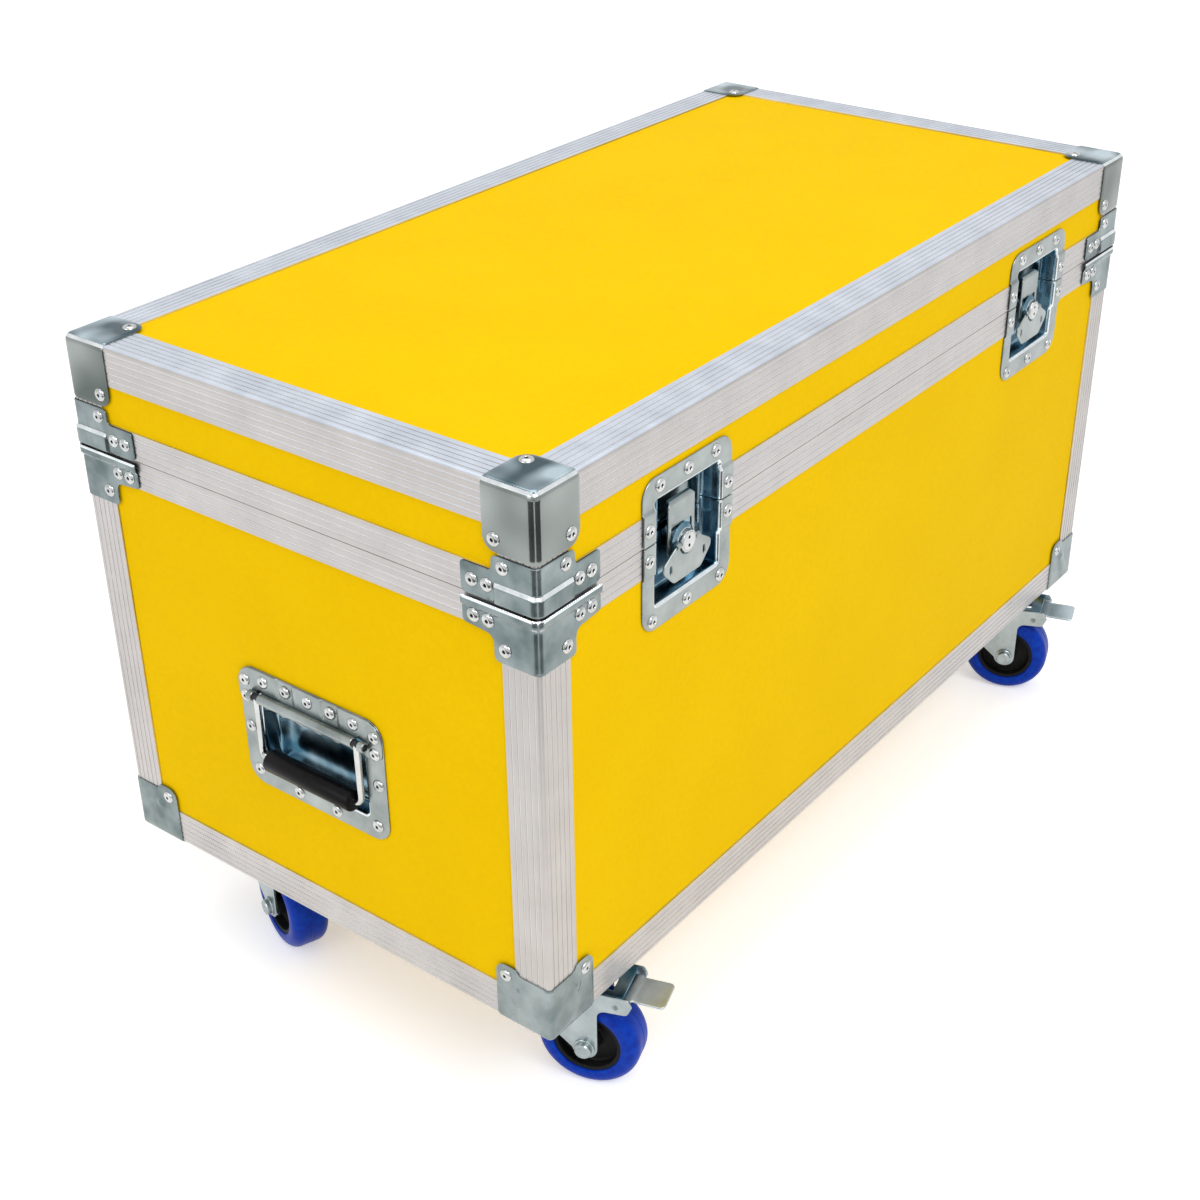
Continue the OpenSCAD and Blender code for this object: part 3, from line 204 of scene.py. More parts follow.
def mirrored_loop(points, radii, middle=()):
    """A rounded loop that is alike left and right, from its right half, lowest point first."""
    left, sharp = [(-u, v) for u, v in points], [0] * len(middle)
    return rounded_loop([left[0], *points, *middle, *left[:0:-1]],
                        [radii[0], *radii, *sharp, *radii[:0:-1]])


def unit(vectors):
    return vectors / np.maximum(np.linalg.norm(vectors, axis=1), TINY ** 2)[:, None]


def shifted(loop, d):
    """A closed anticlockwise loop moved inwards by d."""
    e = unit(np.roll(loop, -1, 0) - loop)
    n = np.stack([-e[:, 1], e[:, 0]], 1)
    m = n + np.roll(n, 1, 0)
    return loop + m * (d / np.maximum((m * np.roll(n, 1, 0)).sum(1), 0.3))[:, None]


def flat_mesh(outline, holes=(), step=2.0, roll=0.5, lines=(), creases=()):
    """Triangles over a flat outline: points, triangles and distance to the rim. The
    triangles keep the closed lines of the creases as edges."""
    loops = [divided(outline, step)] + [divided(h, step) for h in holes]
    creases = [divided(c, step) for c in creases]
    points, edges = [], []
    for loop in loops + creases:
        n = len(points)
        points += list(loop)
        edges += [(n + i, n + (i + 1) % len(loop)) for i in range(len(loop))]
    soft = []
    if roll:
        for k in ROLL_RINGS:
            soft += list(shifted(loops[0], k * roll))
            for loop in loops[1:]:
                soft += list(shifted(loop, -k * roll))
    for line in lines:
        soft += list(divided(line, step, closed=False))
    lo, hi = loops[0].min(0), loops[0].max(0)
    grid = np.stack(np.meshgrid(np.arange(lo[0], hi[0], step), np.arange(lo[1], hi[1], step)), -1)
    grid[1::2, :, 0] += step / 2
    grid = grid.reshape(-1, 2)
    if len(soft) or creases:
        soft = np.array(soft).reshape(-1, 2)
        fixed = np.concatenate([soft] + creases)
        near = np.array([np.hypot(*(fixed - g).T).min() for g in grid])
        grid = grid[near > GRID_SPACE * step]
    for cloud, room in ((soft, FREE_ROOM), (grid, GRID_ROOM * step)):
        if len(cloud):
            keep = between(cloud, loops) & (distance(cloud, loops + creases) > room)
            points += list(cloud[keep])
    made = delaunay_2d_cdt([Vector(p) for p in points], edges, [], 0, WELD, False)
    flat = np.array([tuple(p) for p in made[0]])
    tris = np.array([f for f in made[2] if len(f) == 3])
    keep = between(flat[tris].mean(1), loops)
    a, b, c = (flat[tris[:, k]] for k in range(3))
    area = (b[:, 0] - a[:, 0]) * (c[:, 1] - a[:, 1]) - (b[:, 1] - a[:, 1]) * (c[:, 0] - a[:, 0])
    tris[area < 0] = tris[area < 0][:, ::-1]
    return flat, tris[keep & (np.abs(area) > SLIVER)], distance(flat, loops)


def rolled(rim, roll):
    """How far the face drops towards its rim, as the edge of the sheet is rounded."""
    d = np.clip(roll - rim, 0, roll)
    return roll - np.sqrt(roll * roll - d * d)


def vertex_normals(v, tris):
    n = np.cross(v[tris[:, 1]] - v[tris[:, 0]], v[tris[:, 2]] - v[tris[:, 0]])
    out = np.zeros_like(v)
    for k in range(3):
        np.add.at(out, tris[:, k], n)
    return unit(out)


def thickened(front, tris, thick):
    """A closed shell from a face: the face, its back and its rim."""
    back = front - vertex_normals(front, tris) * thick
    n = len(front)
    directed = {(t[k], t[(k + 1) % 3]) for t in tris.tolist() for k in range(3)}
    rim = [(b, a, a + n, b + n) for a, b in directed if (b, a) not in directed]
    faces = [tuple(t) for t in tris.tolist()]
    faces += [(t[2] + n, t[1] + n, t[0] + n) for t in tris.tolist()] + sorted(rim)
    return np.concatenate([front, back]), faces


def dress(mesh, materials, slots, sharp):
    """Gives a mesh its materials, each face's slot, smooth shading and sharp edges."""
    mesh.materials.clear()
    for m in materials:
        mesh.materials.append(m)
    mesh.polygons.foreach_set("material_index", slots)
    mesh.polygons.foreach_set("use_smooth", [True] * len(mesh.polygons))
    mesh.set_sharp_from_angle(angle=math.radians(sharp))


def linked(name, data):
    """A new object in the scene."""
    obj = bpy.data.objects.new(name, data)
    bpy.context.scene.collection.objects.link(obj)
    return obj


class Build:
    """Collects closed shells for one object."""

    def __init__(self):
        self.verts, self.faces, self.mats, self.count = [], [], [], 0

    def add(self, verts, faces, mat=0):
        verts = np.asarray(verts, float)
        tris = np.array([(f[0], f[k], f[k + 1]) for f in faces for k in range(1, len(f) - 1)])
        a, b, c = (verts[tris[:, k]] for k in range(3))
        if (a * np.cross(b, c)).sum() < 0:
            faces = [f[::-1] for f in faces]
        self.verts.append(verts)
        self.faces += [tuple(i + self.count for i in f) for f in faces]
        self.mats += list(mat) if np.ndim(mat) else [mat] * len(faces)
        self.count += len(verts)

    def sheet(self, outline, place, height=0.0, holes=(), step=2.0, thick=CORNER_T, roll=0.5,
              lines=(), creases=(), paint=None, mat=0):
        """A pressed sheet. height(u, v) is its front face's offset; place(u, v, o) puts it.
        paint(u, v, height) gives the materials of its faces."""
        flat, tris, rim = flat_mesh(outline, holes, step, roll, lines, creases)
        u, v = flat.T
        h = height(u, v) if callable(height) else np.full(len(u), float(height))
        o = h - rolled(rim, roll)
        front = place(u, v, o)
        out = place(u, v, o + 1)
        n = vertex_normals(front, tris)
        if (n * (out - front)).sum() < 0:
            tris = tris[:, ::-1]
        verts, faces = thickened(front, tris, thick)
        mats = np.full(len(faces), mat)
        if paint:
            centre = np.stack([u, v, h], 1)[tris].mean(1)
            mats[:len(tris)] = mats[len(tris):2 * len(tris)] = paint(*centre.T)
        self.add(verts, faces, mats)

    def lathe(self, profile, place, n=24, mats=0):
        """Turns a profile of (radius, height) about an axis. place(x, y, z) puts it. A
        profile that starts off the axis closes into a ring."""
        profile = np.asarray(profile, float)
        t = np.linspace(0, 2 * math.pi, n, endpoint=False)
        verts, rings, faces, paint = [], [], [], []
        for r, z in profile:
            if r < TINY:
                rings.append([len(verts)] * n)
                verts.append((0, 0, z))
            else:
                rings.append(list(range(len(verts), len(verts) + n)))
                verts += list(zip(r * np.cos(t), r * np.sin(t), [z] * n))
        after = rings[1:] + (rings[:1] if profile[0][0] > TINY else [])
        for k, (low, high) in enumerate(zip(rings, after)):
            m = mats[k] if np.ndim(mats) else mats
            for i in range(n):
                j = (i + 1) % n
                face = [low[i], low[j], high[j], high[i]]
                face = [x for q, x in enumerate(face) if x != face[q - 1]]
                if len(face) > 2:
                    faces.append(tuple(face))
                    paint.append(m)
        self.add(place(*np.array(verts, float).T), faces, paint)

    def tube(self, path, radius, place, n=20, mat=0):
        """A round rod along a path of points, with closed ends."""
        path = np.asarray(path, float)
        tangents = unit(np.gradient(path, axis=0))
        side = np.cross(tangents[0], (0.3, 0.5, 0.8))
        t = np.linspace(0, 2 * math.pi, n, endpoint=False)
        verts, faces = [], []
        radii = radius if np.ndim(radius) else [radius] * len(path)
        for p, d, r in zip(path, tangents, radii):
            side = side - d * (side @ d)
            side /= np.linalg.norm(side)
            up = np.cross(d, side)
            verts += [p + r * (math.cos(a) * side + math.sin(a) * up) for a in t]
        for k in range(len(path) - 1):
            faces += [(k * n + i, k * n + (i + 1) % n, (k + 1) * n + (i + 1) % n, (k + 1) * n + i)
                      for i in range(n)]
        last = (len(path) - 1) * n
        faces += [tuple(range(n))[::-1], tuple(range(last, last + n))]
        self.add(place(*np.array(verts).T), faces, mat)

    def make(self, name, body, materials, nodes, slot="plated_steel"):
        """Makes the object in metres. It rides on a body and replaces CAD nodes."""
        mesh = bpy.data.meshes.new(name)
        mesh.from_pydata((np.concatenate(self.verts) * MM).tolist(), [], self.faces)
        dress(mesh, materials, np.array(self.mats, np.int32), PRESSED_SHARP)
        obj = linked(name, mesh)
        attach(obj, body)
        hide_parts(*nodes)


# Placing: each function takes arrays and returns points in the CAD frame


def corner_place(sx, sy, z0, dz):
    """Round an upright edge: u along the side (+) or the end (-), v up, o outwards."""
    def place(u, v, o):
        phi = np.radians(np.clip((u / EDGE_R + 1) * 45, 0, 90))
        x = np.where(u > EDGE_R, u, np.where(u < -EDGE_R, -o, EDGE_R - (EDGE_R + o) * np.cos(phi)))
        y = np.where(u < -EDGE_R, -u, np.where(u > EDGE_R, -o, EDGE_R - (EDGE_R + o) * np.sin(phi)))
        return box_corner(sx, sy, z0, dz)(x, y, v)
    return place


def box_corner(sx, sy, z0, dz):
    """A corner of the box, with the box in the first octant."""
    def place(x, y, z):
        return np.stack([sx * (END_X - x), MID_Y + sy * (HALF_Y - y), z0 + dz * z], -1)
    return place


def front_place(x0, z0):
    return lambda u, v, o: np.stack([x0 + u, MID_Y - HALF_Y - o, z0 + v], -1)


def back_place(x0, z0):
    return lambda u, v, o: np.stack([x0 + u, MID_Y + HALF_Y + o, z0 + v], -1)


def end_place(side, z0):
    """On an end panel, whose face lies inside the edging's by the edging's thickness."""
    return lambda u, v, o: np.stack([side * (END_X - EDGING_T + o), MID_Y - u, z0 + v], -1)


def on_sheet(place, u0, v0, o0=0.0):
    """Moves a place along a sheet, or stands a turned part on the sheet's face."""
    return lambda x, y, z: place(u0 + x, v0 + y, o0 + z)


def along_u(place, v0, o0):
    """Places a turned part with its axis along u."""
    return lambda x, y, z: place(z, v0 + x, o0 + y)


# Materials


def node_tree(name):
    m = bpy.data.materials.new(name)
    m.use_nodes = True
    return m, m.node_tree, m.node_tree.nodes["Principled BSDF"]


def noise(tree, scale, detail=3, stretch=None, roughness=0.5):
    """A noise in object coordinates. The scale is cycles a metre."""
    tex = tree.nodes.new("ShaderNodeTexNoise")
    tex.inputs["Scale"].default_value = scale
    tex.inputs["Detail"].default_value = detail
    tex.inputs["Roughness"].default_value = roughness
    coords = tree.nodes.new("ShaderNodeTexCoord").outputs["Object"]
    if stretch:
        mapping = tree.nodes.new("ShaderNodeMapping")
        mapping.inputs["Scale"].default_value = stretch
        tree.links.new(coords, mapping.inputs[0])
        coords = mapping.outputs[0]
    tree.links.new(coords, tex.inputs["Vector"])
    return tex.outputs["Fac"]


def ramp(tree, value, low, high, at=(0.3, 0.7)):
    """A ramp from one colour or grey to another, between two positions."""
    node = tree.nodes.new("ShaderNodeValToRGB")
    for element, position, colour in zip(node.color_ramp.elements, at, (low, high)):
        element.position = position
        element.color = (*colour, 1) if np.ndim(colour) else (colour, colour, colour, 1)
    tree.links.new(value, node.inputs[0])
    return node.outputs["Color"]


def blend(tree, first, second, share, kind="MIX"):
    """A mix of two colours. The node's colour sockets go by number: factor 0, colours 6 and 7."""
    mix = tree.nodes.new("ShaderNodeMix")
    mix.data_type = "RGBA"
    mix.blend_type = kind
    mix.inputs[0].default_value = share
    tree.links.new(first, mix.inputs[6])
    tree.links.new(second, mix.inputs[7])
    return mix.outputs[2]


def bump(tree, bsdf, value, strength, depth, before=None):
    """Small relief from a value, over the relief given before it. The depth is in metres."""
    node = tree.nodes.new("ShaderNodeBump")
    node.inputs["Strength"].default_value = strength
    node.inputs["Distance"].default_value = depth
    tree.links.new(value, node.inputs["Height"])
    if before:
        tree.links.new(before, node.inputs["Normal"])
    tree.links.new(node.outputs[0], bsdf.inputs["Normal"])
    return node.outputs[0]


def shade(tree, bsdf, colour, rough):
    tree.links.new(colour, bsdf.inputs["Base Color"])
    tree.links.new(rough, bsdf.inputs["Roughness"])


def laminate():
    m, tree, bsdf = node_tree("yellow_laminate")
    fine, grain, broad = noise(tree, 900, 4), noise(tree, 260), noise(tree, 12)
    broad = ramp(tree, broad, (0.87, 0.54, 0.0), (0.91, 0.575, 0.0005), (0.35, 0.65))
    speckle = ramp(tree, grain, (0.86, 0.53, 0.0), (0.92, 0.59, 0.001))
    shade(tree, bsdf, blend(tree, broad, speckle, 0.5), ramp(tree, grain, 0.46, 0.58))
    first = bump(tree, bsdf, grain, 0.35, 0.0004)
    bump(tree, bsdf, fine, 0.25, 0.0002, first)
    bsdf.inputs["Specular IOR Level"].default_value = 0.015
    return m


def metal(name, low, high, rough, cloud, scratch=None, dent=0.0, at=(0.3, 0.7), detail=5):
    """A metal whose colour and gloss vary in clouds, with drawn lines along one way."""
    m, tree, bsdf = node_tree(name)
    clouds = noise(tree, cloud, detail, roughness=0.6)
    colour = ramp(tree, clouds, low, high, at)
    if scratch:
        lines = noise(tree, 1, 2, stretch=scratch)
        drawn = ramp(tree, lines, 0.93, 1.0, (0.35, 0.6))
        colour = blend(tree, colour, drawn, 1.0, "MULTIPLY")
        bump(tree, bsdf, lines, 0.15, 0.0001)
    shade(tree, bsdf, colour, ramp(tree, clouds, *rough))
    if dent:
        bump(tree, bsdf, clouds, dent, 0.002)
    bsdf.inputs["Metallic"].default_value = 1.0
    return m


def plain(name, low, high, rough, grain, strength=0.2, level=0.5):
    """A plastic or rubber with a grain."""
    m, tree, bsdf = node_tree(name)
    value = noise(tree, grain)
    shade(tree, bsdf, ramp(tree, value, low, high), ramp(tree, value, *rough))
    bump(tree, bsdf, value, strength, 0.0003)
    bsdf.inputs["Specular IOR Level"].default_value = level
    return m


# Each material: its darkest and lightest colour, roughness, and cycles a metre of its clouds
EDGING = (0.46, 0.44, 0.43), (0.55, 0.527, 0.515), (0.34, 0.46), 30
DRAWN, ACROSS = 6, 900
LAMINATE = laminate()
ALONG_X = metal("edging_along_x", *EDGING, (DRAWN, ACROSS, ACROSS))
ALONG_Y = metal("edging_along_y", *EDGING, (ACROSS, DRAWN, ACROSS))
ALONG_Z = metal("edging_along_z", *EDGING, (ACROSS, ACROSS, DRAWN))
# Upward faces of the edging: a lighter, bluer copy of the edging, painted light from above.
UPPER_FACE_LIGHT = metal("edging_upper_face", (0.52, 0.57, 0.65), (0.64, 0.69, 0.77), (0.3, 0.42), 30)
# Groove floors of the edging: near-white, painted light that outweighs the shade in the grooves.
GROOVE_LIGHT = metal("edging_rib", (0.68, 0.67, 0.67), (0.8, 0.79, 0.79), (0.3, 0.42), 30)
POLISHED = metal("polished_steel", (0.1, 0.12, 0.112), (0.38, 0.41, 0.4), (0.14, 0.24), 16,
                 dent=0.08, detail=1)
# The cap's top leaf: a darker teal copy of the polished steel, a painted reflection.
CAP_TOP_REFLECTION = metal("polished_steel_top", (0.04, 0.08, 0.1), (0.5, 0.61, 0.67), (0.12, 0.22), 30,
             at=(0.4, 0.66), detail=1)
PLATED = metal("zinc_plated_steel", (0.1, 0.135, 0.14), (0.31, 0.36, 0.37), (0.18, 0.3), 28,
               dent=0.05, detail=3)
SATIN = metal("satin_zinc", (0.22, 0.25, 0.25), (0.4, 0.44, 0.435), (0.24, 0.36), 30,
              dent=0.04, detail=3)
# Near-white steel for rounded edges, lips and ledges: a painted highlight.
PAINTED_HIGHLIGHT = metal("buffed_edge", (0.58, 0.63, 0.65), (0.84, 0.88, 0.9), (0.12, 0.2), 70)
# Blue-teal steel with dark and pale clouds for the inside of the dishes and parts in their shade:
# painted reflection and painted shade.
BLUE_REFLECTION_SHADE = metal("blue_passivated_steel", (0.03, 0.12, 0.19), (0.4, 0.55, 0.63), (0.14, 0.24), 30,
             dent=0.06, at=(0.36, 0.7), detail=2)
BRIGHT = metal("bright_steel", (0.46, 0.48, 0.48), (0.62, 0.63, 0.63), (0.12, 0.2), 60)
HEAD = metal("rivet_head", (0.4, 0.42, 0.42), (0.62, 0.63, 0.63), (0.1, 0.18), 120)
FORK = metal("castor_zinc", (0.3, 0.35, 0.36), (0.46, 0.51, 0.52), (0.24, 0.36), 40, dent=0.04)
PEDAL = metal("pedal_zinc", (0.4, 0.48, 0.52), (0.56, 0.64, 0.68), (0.3, 0.42), 50, dent=0.04)
# Near-black: painted shade in the rivet holes, behind the knob's holes and on the rod in the
# handle's curls; also the brake shoe's black.
SHOE_BLACK_AND_SHADE = plain("dark_recess", (0.004, 0.004, 0.005), (0.012, 0.012, 0.014), (0.5, 0.7), 300)
GRIP = plain("black_grip", (0.002, 0.002, 0.002), (0.006, 0.005, 0.006), (0.3, 0.4), 240,
             strength=0.1, level=0.12)
HUB = plain("black_wheel_centre", (0.003, 0.003, 0.003), (0.01, 0.01, 0.01), (0.5, 0.65), 500,
            level=0.15)
TYRE = plain("blue_tyre", (0.0, 0.024, 0.33), (0.001, 0.05, 0.46), (0.28, 0.4), 160,
             strength=0.08, level=0.12)

PANELS = ("front_panel", "back_panel", "end_panels", "floor_panel", "lid_top_panel",
          "lid_front_panel", "lid_back_panel", "lid_end_panels")
CAD_LOOKS = {**dict.fromkeys(PANELS, LAMINATE), "latch_housings": BLUE_REFLECTION_SHADE, "hinge_pins": BRIGHT,
             "castor_plates": FORK, "castor_bolts": BRIGHT}
BEVELLED = ("latch_housings", "latch_keepers", "hinge_base_leaves", "hinge_lid_leaves",
            "castor_plates")
BAR_LOOKS = {
    **dict.fromkeys(("bottom_edging", "top_edging", "base_closing_frame", "lid_closing_frame"),
                    (ALONG_X, ALONG_Y, UPPER_FACE_LIGHT, GROOVE_LIGHT)),
    **dict.fromkeys(("corner_posts", "lid_corner_posts"), (ALONG_Z, ALONG_Z, ALONG_Z, GROOVE_LIGHT)),
}
GROOVE_DEPTH = (0.15, 0.9)  # a groove's floor below the outer faces
BAR_W, BAR_START = 30, 12   # an end bar's width, and its start from the long side


def bar_slot(p):
    """The slot of a bar's face: a groove's floor, painted near-white as painted light against its
    shade; an upward face, painted lighter and bluer as painted light from above; or a side along x
    or y.
    """
    x, y, z = abs(p.center.x) / MM, abs(p.center.y / MM - MID_Y), p.center.z / MM
    depth = min(END_X - x, HALF_Y - y, TOP_Z - z, z - UNDER_Z)
    # Groove floors take the painted light against their shade.
    if GROOVE_DEPTH[0] < depth < GROOVE_DEPTH[1] and max(abs(v) for v in p.normal) > 0.98:
        return 3
    # Upward faces take the painted light from above.
    if p.normal.z > 0.7:
        return 2
    return 1 if x > END_X - BAR_W and y < HALF_Y - BAR_START else 0


def dress_cad():
    """Gives every CAD node smooth shading and a material, and the smaller ones a fine bevel."""
    for name, node in frame["nodes"].items():
        mesh = node.data
        looks = BAR_LOOKS.get(name, (CAD_LOOKS.get(name, PLATED),))
        slots = [bar_slot(p) if name in BAR_LOOKS else 0 for p in mesh.polygons]
        dress(mesh, looks, slots, CAD_SHARP)
        if name in BEVELLED:
            bevel = node.modifiers.new("edges", "BEVEL")
            bevel.width = 0.4 * MM
            bevel.segments = 2
            bevel.limit_method = "ANGLE"
            bevel.angle_limit = math.radians(BEVEL_SHARP)


dress_cad()


# Rivets

RIVET = [(0, -0.6), (4.7, -0.6), (5.0, 0.0), (4.95, 0.3), (4.6, 0.85), (3.9, 1.3), (2.9, 1.6),
         (2.0, 1.74), (1.5, 1.7), (1.25, 1.4), (1.2, 0.5), (1.05, 0.45), (0.6, 0.75), (0, 0.8)]
# The last four bands, the hole's wall and the mandrel's end, take the near-black painted shade.
RIVET_MATS = [0] * 9 + [1] * 4


def rivets(build, place, points, face):
    """Rivet heads on a face. The hole in each head's middle is painted near-black: painted shade.
    """
    for u, v in points:
        build.lathe(RIVET, on_sheet(place, u, v, face), mats=RIVET_MATS)


# Steel corners

CAP_W, CAP_H, CAP_R = 41, 47, 10
CAP_ROUND, FOOT_ROUND, CAP_ROLL = 6, 5, 0.5
CORE = 12   # more than any bend of a cap
LONG = 400  # more than any leaf of a cap


def leaf(w, h, r):
    """One face of a cap, from the box's corner to its own rounded corner."""
    return rectangle(0, 0, w, h, [0, 0, r, 0])


def corner_cap(build, place, outlines, heights, radius, paint=None):
    """A pressed cap over three faces that meet at a corner. Outlines start at the corner
    of the cap's outer planes; each face's points are bent round the edges."""
    verts, tris, count = [], [], 0
    axes = ((0, 2), (1, 2), (0, 1))
    for outline, height, (first, second) in zip(outlines, heights, axes):
        fine = upright(np.arange(0.6, radius + 0.1, 0.9), 0, LONG)
        fine += [line[:, ::-1] for line in fine]
        hi = np.array(outline).max(0)
        fine = [np.minimum(line, hi) for line in fine]
        flat, t, _ = flat_mesh(outline, roll=0, lines=fine)
        p = np.zeros((len(flat), 3))
        p[:, first], p[:, second] = flat.T
        c = np.maximum(p, radius)
        h = height(*flat.T) - rolled(distance(flat, [outline], free=True), CAP_ROLL)
        verts.append(c + unit(p - c) * (radius + h)[:, None])
        tris.append(t + count)
        count += len(flat)
    verts, tris = np.concatenate(verts), np.concatenate(tris)
    key, where = np.unique(np.round(verts, 3), axis=0, return_inverse=True)
    merged = np.zeros_like(key)
    merged[where.ravel()] = verts
    tris = where.ravel()[tris]
    tris = oriented(merged, tris[(tris != np.roll(tris, 1, 1)).all(1)])
    shell, faces = thickened(merged, tris, CORNER_T)
    mats = np.zeros(len(faces), int)
    if paint:
        mats[:len(tris)] = mats[len(tris):2 * len(tris)] = paint(*merged[tris].mean(1).T)
    build.add(place(*(shell - CORNER_T).T), faces, mats)


def oriented(verts, tris):
    """Turns each triangle so that it faces away from the inside of the corner."""
    a, b, c = (verts[tris[:, k]] for k in range(3))
    n = np.cross(b - a, c - a)
    middle = (a + b + c) / 3
    wrong = (n * (middle - np.maximum(middle, CORE))).sum(1) < 0
    return np.where(wrong[:, None], tris[:, ::-1], tris)


def level(u, v):
    return 0 * u


def cap_light_paint(x, y, z):
    """The top leaf is painted darker teal, a painted reflection on the same steel, and the edges
    along it get a painted highlight.
    """
    inner = np.minimum(x, y)
    # Slot 1 is the painted reflection on the top leaf, slot 2 the painted highlight on its edges.
    return np.where((z < 1.2) & (inner > 3), 1, np.where((z > 1) & (z < 2.9) & (inner < 3), 2, 0))


def top_corners():
    build = Build()
    w, h = CAP_W + CORNER_T, CAP_H + CORNER_T
    side, top = leaf(w, h, CAP_R), leaf(w, w, CAP_R)
    for sx, sy in CORNERS:
        corner_cap(build, box_corner(sx, sy, TOP_Z, -1), (side, side, top), (level,) * 3,
                   CAP_ROUND, cap_light_paint)
    build.make("top_corner_caps", "lid", [POLISHED, CAP_TOP_REFLECTION, PAINTED_HIGHLIGHT], ["top_corners"],
               "polished_steel")


BRACE_W, TAB_W, WING_H, LID_TAB_H, BASE_TAB_H = 60, 35, 21.8, 33, 42
BAND_ENDS = (31.5, 32.5, 33.5)


def lid_brace_height(u, v):
    """The middle band stands out below a ledge that gets a painted highlight, and each wing's foot
    bends out.
    """
    across = 1 - smooth_step(np.abs(u), BAND_ENDS[0], BAND_ENDS[-1])
    band = across * (1 - smooth_step(v, 12, 14.2)) * 1.7
    wing = smooth_step(np.abs(u), 36, 37.5) * (1 - smooth_step(v, 0.2, 3.2)) * 0.7
    return CORNER_T + band + wing


def base_brace_height(u, v):
    """The band along the top edge stands out over a ledge that gets a painted highlight."""
    return CORNER_T + 1.6 * (1 - smooth_step(v, 7.6, 10))


# A painted highlight on the ledge below the lid brace's band.
def lid_ledge_highlight(u, v, h):
    return np.where((np.abs(u) < BAND_ENDS[1]) & (v > 12) & (v < 14.3), 1, 0)


# Painted highlights on the base brace's top edge and the ledge below its band.
def base_ledge_highlights(u, v, h):
    return np.where((v < 3.8) | ((v > 8.3) & (v < 9.5)), 1, 0)


def braces():
    up, down = Build(), Build()
    lid = mirrored_loop([(BRACE_W, 0.2), (BRACE_W, WING_H), (TAB_W, WING_H), (TAB_W, LID_TAB_H)],
                        [4, 3, 3, 4])
    base = mirrored_loop([(BRACE_W, 2), (BRACE_W, WING_H), (TAB_W, 24), (TAB_W, BASE_TAB_H)],
                         [1, 3, 6, 4])
    bend = upright((-EDGE_R, -EDGE_R / 2, 0, EDGE_R / 2, EDGE_R), 0, 45)
    lid_lines = level_lines(BRACE_W, (12, 12.7, 13.5, 14.2))
    lid_lines += upright([s * a for s in (-1, 1) for a in BAND_ENDS], 0, 14)
    base_lines = level_lines(BRACE_W, (3, 3.8, 7.6, 8.3, 9, 9.5, 10))
    for s in CORNERS:
        up.sheet(lid, corner_place(*s, SEAM_Z, 1), lid_brace_height, lines=lid_lines + bend,
                 paint=lid_ledge_highlight)
        down.sheet(base, corner_place(*s, SEAM_Z, -1), base_brace_height,
                   lines=base_lines + bend, paint=base_ledge_highlights)
    up.make("lid_braces", "lid", [PLATED, PAINTED_HIGHLIGHT], ["lid_brace_corners"])
    down.make("base_braces", "case_base", [PLATED, PAINTED_HIGHLIGHT], ["base_brace_corners"])


FOOT_W, FOOT_H, FOOT_LOBE_R, FOOT_LOBE_UP, FOOT_LEAF_R = 47, 45, 9, 5, 27


def foot_height(a, b):
    """A round dimple inside the rivet, and the pressed rib that runs from it to the tip."""
    a, b = a - CORNER_T, b - CORNER_T
    dimple = 1 - smooth_step(np.hypot(a - 28, b - 32), 1.5, 4.5)
    along = smooth_step(b, 0, 6) * (1 - smooth_step(b, 31, 35))
    below = np.clip(1 - b / 36, 0, 1)
    width = 3 + 9 * below
    middle = 27 - 17 * below ** 1.6
    rib = np.exp(-((a - middle) / width) ** 4 * 2) * along
    return 1.1 * dimple + 0.8 * rib


def bottom_corners():
    build = Build()
    w, h, r = FOOT_W + CORNER_T, FOOT_H + CORNER_T, FOOT_LOBE_R
    side = rounded_loop([(0, 0), (w, 0), (w, h + FOOT_LOBE_UP), (w - 2 * r, h + FOOT_LOBE_UP),
                         (w - 2 * r - 3, h), (0, h)], [0, 1, r, r, 3, 0])
    e, f = EDGE_R + CORNER_T, FOOT_LEAF_R + CORNER_T
    bow = arc(0, 0, f, range(10, 81, 10))
    under = np.array([(0, 0), (w, 0), (w, e), (f, e), *bow, (e, f), (e, w), (0, w)], float)
    for sx, sy in CORNERS:
        corner_cap(build, box_corner(sx, sy, UNDER_Z, 1), (side, side, under),
                   (foot_height, foot_height, level), FOOT_ROUND)
    build.make("bottom_corner_caps", "case_base", [PLATED], ["bottom_corners"])


top_corners()
braces()
bottom_corners()


# Rivets of a corner piece's one half: along its face, and up or down from its edge
CAP_RIVET = CAP_W - 9, CAP_H - 9
LID_BRACE_RIVETS = (39, 10.5), (51, 10.5), (26, 26)
BASE_BRACE_RIVETS = (39, 14.8), (51, 14.8), (26, 32)
FOOT_RIVET = 38, 41


def corner_rivets():
    lid, base = Build(), Build()
    rows = ((lid, TOP_Z, -1, [CAP_RIVET]), (lid, SEAM_Z, 1, LID_BRACE_RIVETS),
            (base, SEAM_Z, -1, BASE_BRACE_RIVETS), (base, UNDER_Z, 1, [FOOT_RIVET]))
    for sx, sy in CORNERS:
        for s in (-1, 1):
            for build, edge, dz, points in rows:
                rivets(build, corner_place(sx, sy, edge, dz), [(s * u, v) for u, v in points],
                       CORNER_T)
        top, at = box_corner(sx, sy, TOP_Z, -1), CAP_RIVET[0]
        lid.lathe(RIVET, lambda x, y, z: top(at + x, at + y, -CORNER_T - z), mats=RIVET_MATS)
    return lid, base


LID_RIVETS, BASE_RIVETS = corner_rivets()


# Latches

